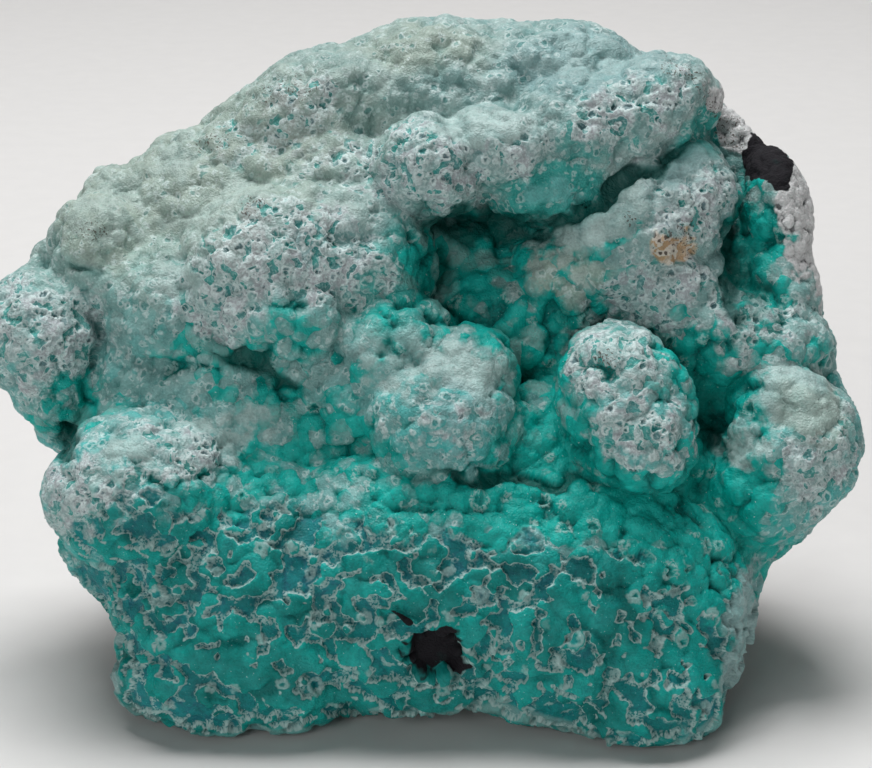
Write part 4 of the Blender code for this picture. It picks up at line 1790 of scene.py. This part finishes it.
@dataclass
class HostRock:
    """The host rock behind and below the crust, with a flat base, open where the crust hides it."""

    growth: Growth
    frame: FaceFrame
    chart: CrustMap = field(default_factory=CrustMap)
    finish: RockFinish = field(default_factory=RockFinish)
    voxel: float = 0.55
    inset: float = 2.0
    hidden_cover: float = 4.0
    base_reach: float = 0.3

    def build(self) -> bpy.types.Object:
        """Builds the rock.

        Returns:
            The piece.
        """
        mesh = self.growth.skin(self.voxel, "host_rock")
        points = points_of(mesh)
        places = self.frame.to_face(points)
        cover = self.chart.cover(places)
        sunk = self.inset * smoothstep(cover, -0.5, 1.0) + self.chart.hollow(places)
        move_points(mesh, points - normals_of(mesh) * sunk[:, None] * MM)
        store(mesh, "rest", places)
        bare = 1.0 - smoothstep(cover, -2.0, 0.0)
        bare *= smoothstep(points[:, 2] / MM, self.base_reach, 2.0)
        store(mesh, "form", np.column_stack((bare, bare, bare)))
        rock = self._stand(pressed(mesh, "host_rock", self.finish.push))
        rock.data.materials.append(self.finish.material())
        return rock

    def _stand(self, mesh: bpy.types.Mesh) -> bpy.types.Object:
        """Cuts the rock flat at the floor, closes the cut and takes off what the crust hides.

        Args:
            mesh: the rock's mesh.

        Returns:
            The piece.
        """
        shape = bmesh.new()
        shape.from_mesh(mesh)
        cut = bmesh.ops.bisect_plane(
            shape, geom=list(shape.verts) + list(shape.edges) + list(shape.faces),
            plane_co=(0, 0, 0), plane_no=(0, 0, 1), clear_inner=True,
        )
        rim = [item for item in cut["geom_cut"] if isinstance(item, bmesh.types.BMEdge)]
        bmesh.ops.holes_fill(shape, edges=rim, sides=0)
        shape.to_mesh(mesh)
        shape.free()
        mesh.shade_smooth()
        return link("host_rock", cut_out(mesh, self._seen(mesh), "host_rock"))

    def _seen(self, mesh: bpy.types.Mesh) -> np.ndarray:
        """Tells which faces aren't hidden deep under the crust.

        Args:
            mesh: the rock's mesh, cut at the floor.

        Returns:
            True for each face that is kept.
        """
        middles = np.empty(3 * len(mesh.polygons), np.float32)
        mesh.polygons.foreach_get("center", middles)
        cover = self.chart.cover(self.frame.to_face(points_of(mesh)))[first_corners(mesh)]
        return (cover < self.hidden_cover) | (middles[2::3] < self.base_reach * MM)


@dataclass
class Setting:
    """The paper, the soft lights and the camera."""

    frame: FaceFrame
    paper_half_width: float = 0.9
    paper_front: float = -0.8
    paper_back: float = 0.35
    paper_rise: float = 0.9
    paper_bend: float = 0.25
    paper_bend_steps: int = 12
    lamps: tuple[Lamp, ...] = (
        Lamp("top_softbox", (-0.04, 0.12, 0.60), (0.0, 0.0, 0.02), (0.40, 0.32), 4.1),
        Lamp("front_fill", (-0.28, -0.58, 0.28), (0.0, 0.0, 0.03), (0.3, 0.3), 1.15),
        Lamp("right_fill", (0.55, -0.35, 0.30), (0.0, 0.0, 0.03), (0.4, 0.4), 0.25),
    )
    room_tone: Colour = (0.86, 0.93, 1.0)
    room_strength: float = 0.025
    lens: float = 100.0
    sensor: float = 36.0
    eye: Corner = (0.0, 33.5, 225.0)

    def build(self) -> None:
        """Sets the scene round the specimen."""
        self._paper()
        for lamp in self.lamps:
            self._hang(lamp)
        self._world()
        self._camera()

    def _paper(self) -> None:
        """Lays the sheet of paper: flat, then curved up behind."""
        shape = bmesh.new()
        profile = [(self.paper_front, 0.0), (self.paper_back, 0.0)]
        for index in range(1, self.paper_bend_steps + 1):
            turn = math.radians(90.0 * index / self.paper_bend_steps)
            profile.append((
                self.paper_back + self.paper_bend * math.sin(turn),
                self.paper_bend * (1.0 - math.cos(turn)),
            ))
        profile.append((self.paper_back + self.paper_bend, self.paper_rise))
        left = [shape.verts.new((-self.paper_half_width, y, z)) for y, z in profile]
        right = [shape.verts.new((self.paper_half_width, y, z)) for y, z in profile]
        for i in range(len(profile) - 1):
            shape.faces.new((left[i], right[i], right[i + 1], left[i + 1]))
        mesh = bpy.data.meshes.new("backdrop")
        shape.to_mesh(mesh)
        shape.free()
        mesh.shade_smooth()
        mesh.materials.append(PaperFinish().material())
        link("backdrop", mesh)

    def _hang(self, lamp: Lamp) -> None:
        """Hangs one soft light.

        Args:
            lamp: the light, in metres.
        """
        light = bpy.data.lights.new(lamp.name, "AREA")
        light.shape = "RECTANGLE"
        light.size, light.size_y = lamp.size
        light.energy = lamp.power
        made = bpy.data.objects.new(lamp.name, light)
        made.location = lamp.place
        facing = Vector(lamp.target) - Vector(lamp.place)
        made.rotation_euler = facing.to_track_quat("-Z", "Y").to_euler()
        bpy.context.scene.collection.objects.link(made)

    def _world(self) -> None:
        """Fills the room with an even, faint light."""
        world = bpy.data.worlds.new("room")
        world.use_nodes = True
        sky = world.node_tree.nodes["Background"]
        sky.inputs["Color"].default_value = (*self.room_tone, 1.0)
        sky.inputs["Strength"].default_value = self.room_strength
        bpy.context.scene.world = world
        bpy.context.scene.view_settings.view_transform = "Standard"

    def _camera(self) -> None:
        """Places the camera square to the face, as the photo was taken."""
        lens = bpy.data.cameras.new("camera")
        lens.lens = self.lens
        lens.sensor_width = self.sensor
        lens.clip_start = 0.01
        camera = bpy.data.objects.new("camera", lens)
        turn = self.frame.face_matrix().to_quaternion().to_matrix().to_4x4()
        camera.matrix_world = Matrix.Translation(
            self.frame.face_matrix() @ Vector(self.eye)) @ turn
        bpy.context.scene.collection.objects.link(camera)
        bpy.context.scene.camera = camera


def ride_as(piece: bpy.types.Object) -> None:
    """Fixes a piece to the specimen's body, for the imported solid.

    Args:
        piece: the piece.
    """
    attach(piece, BODY)
    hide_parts(NODE)
    LOG.info("%s: %d faces", piece.name, len(piece.data.polygons))


def main() -> None:
    """Builds the pieces in order and reports each."""
    logging.basicConfig(level=logging.INFO, format="%(message)s")
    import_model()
    frame = FaceFrame()
    growth = Growth(frame)
    Setting(frame).build()
    ride_as(HostRock(growth, frame).build())
    for piece in Crust(growth, frame).build():
        ride_as(piece)


if __name__ == "__main__":
    main()
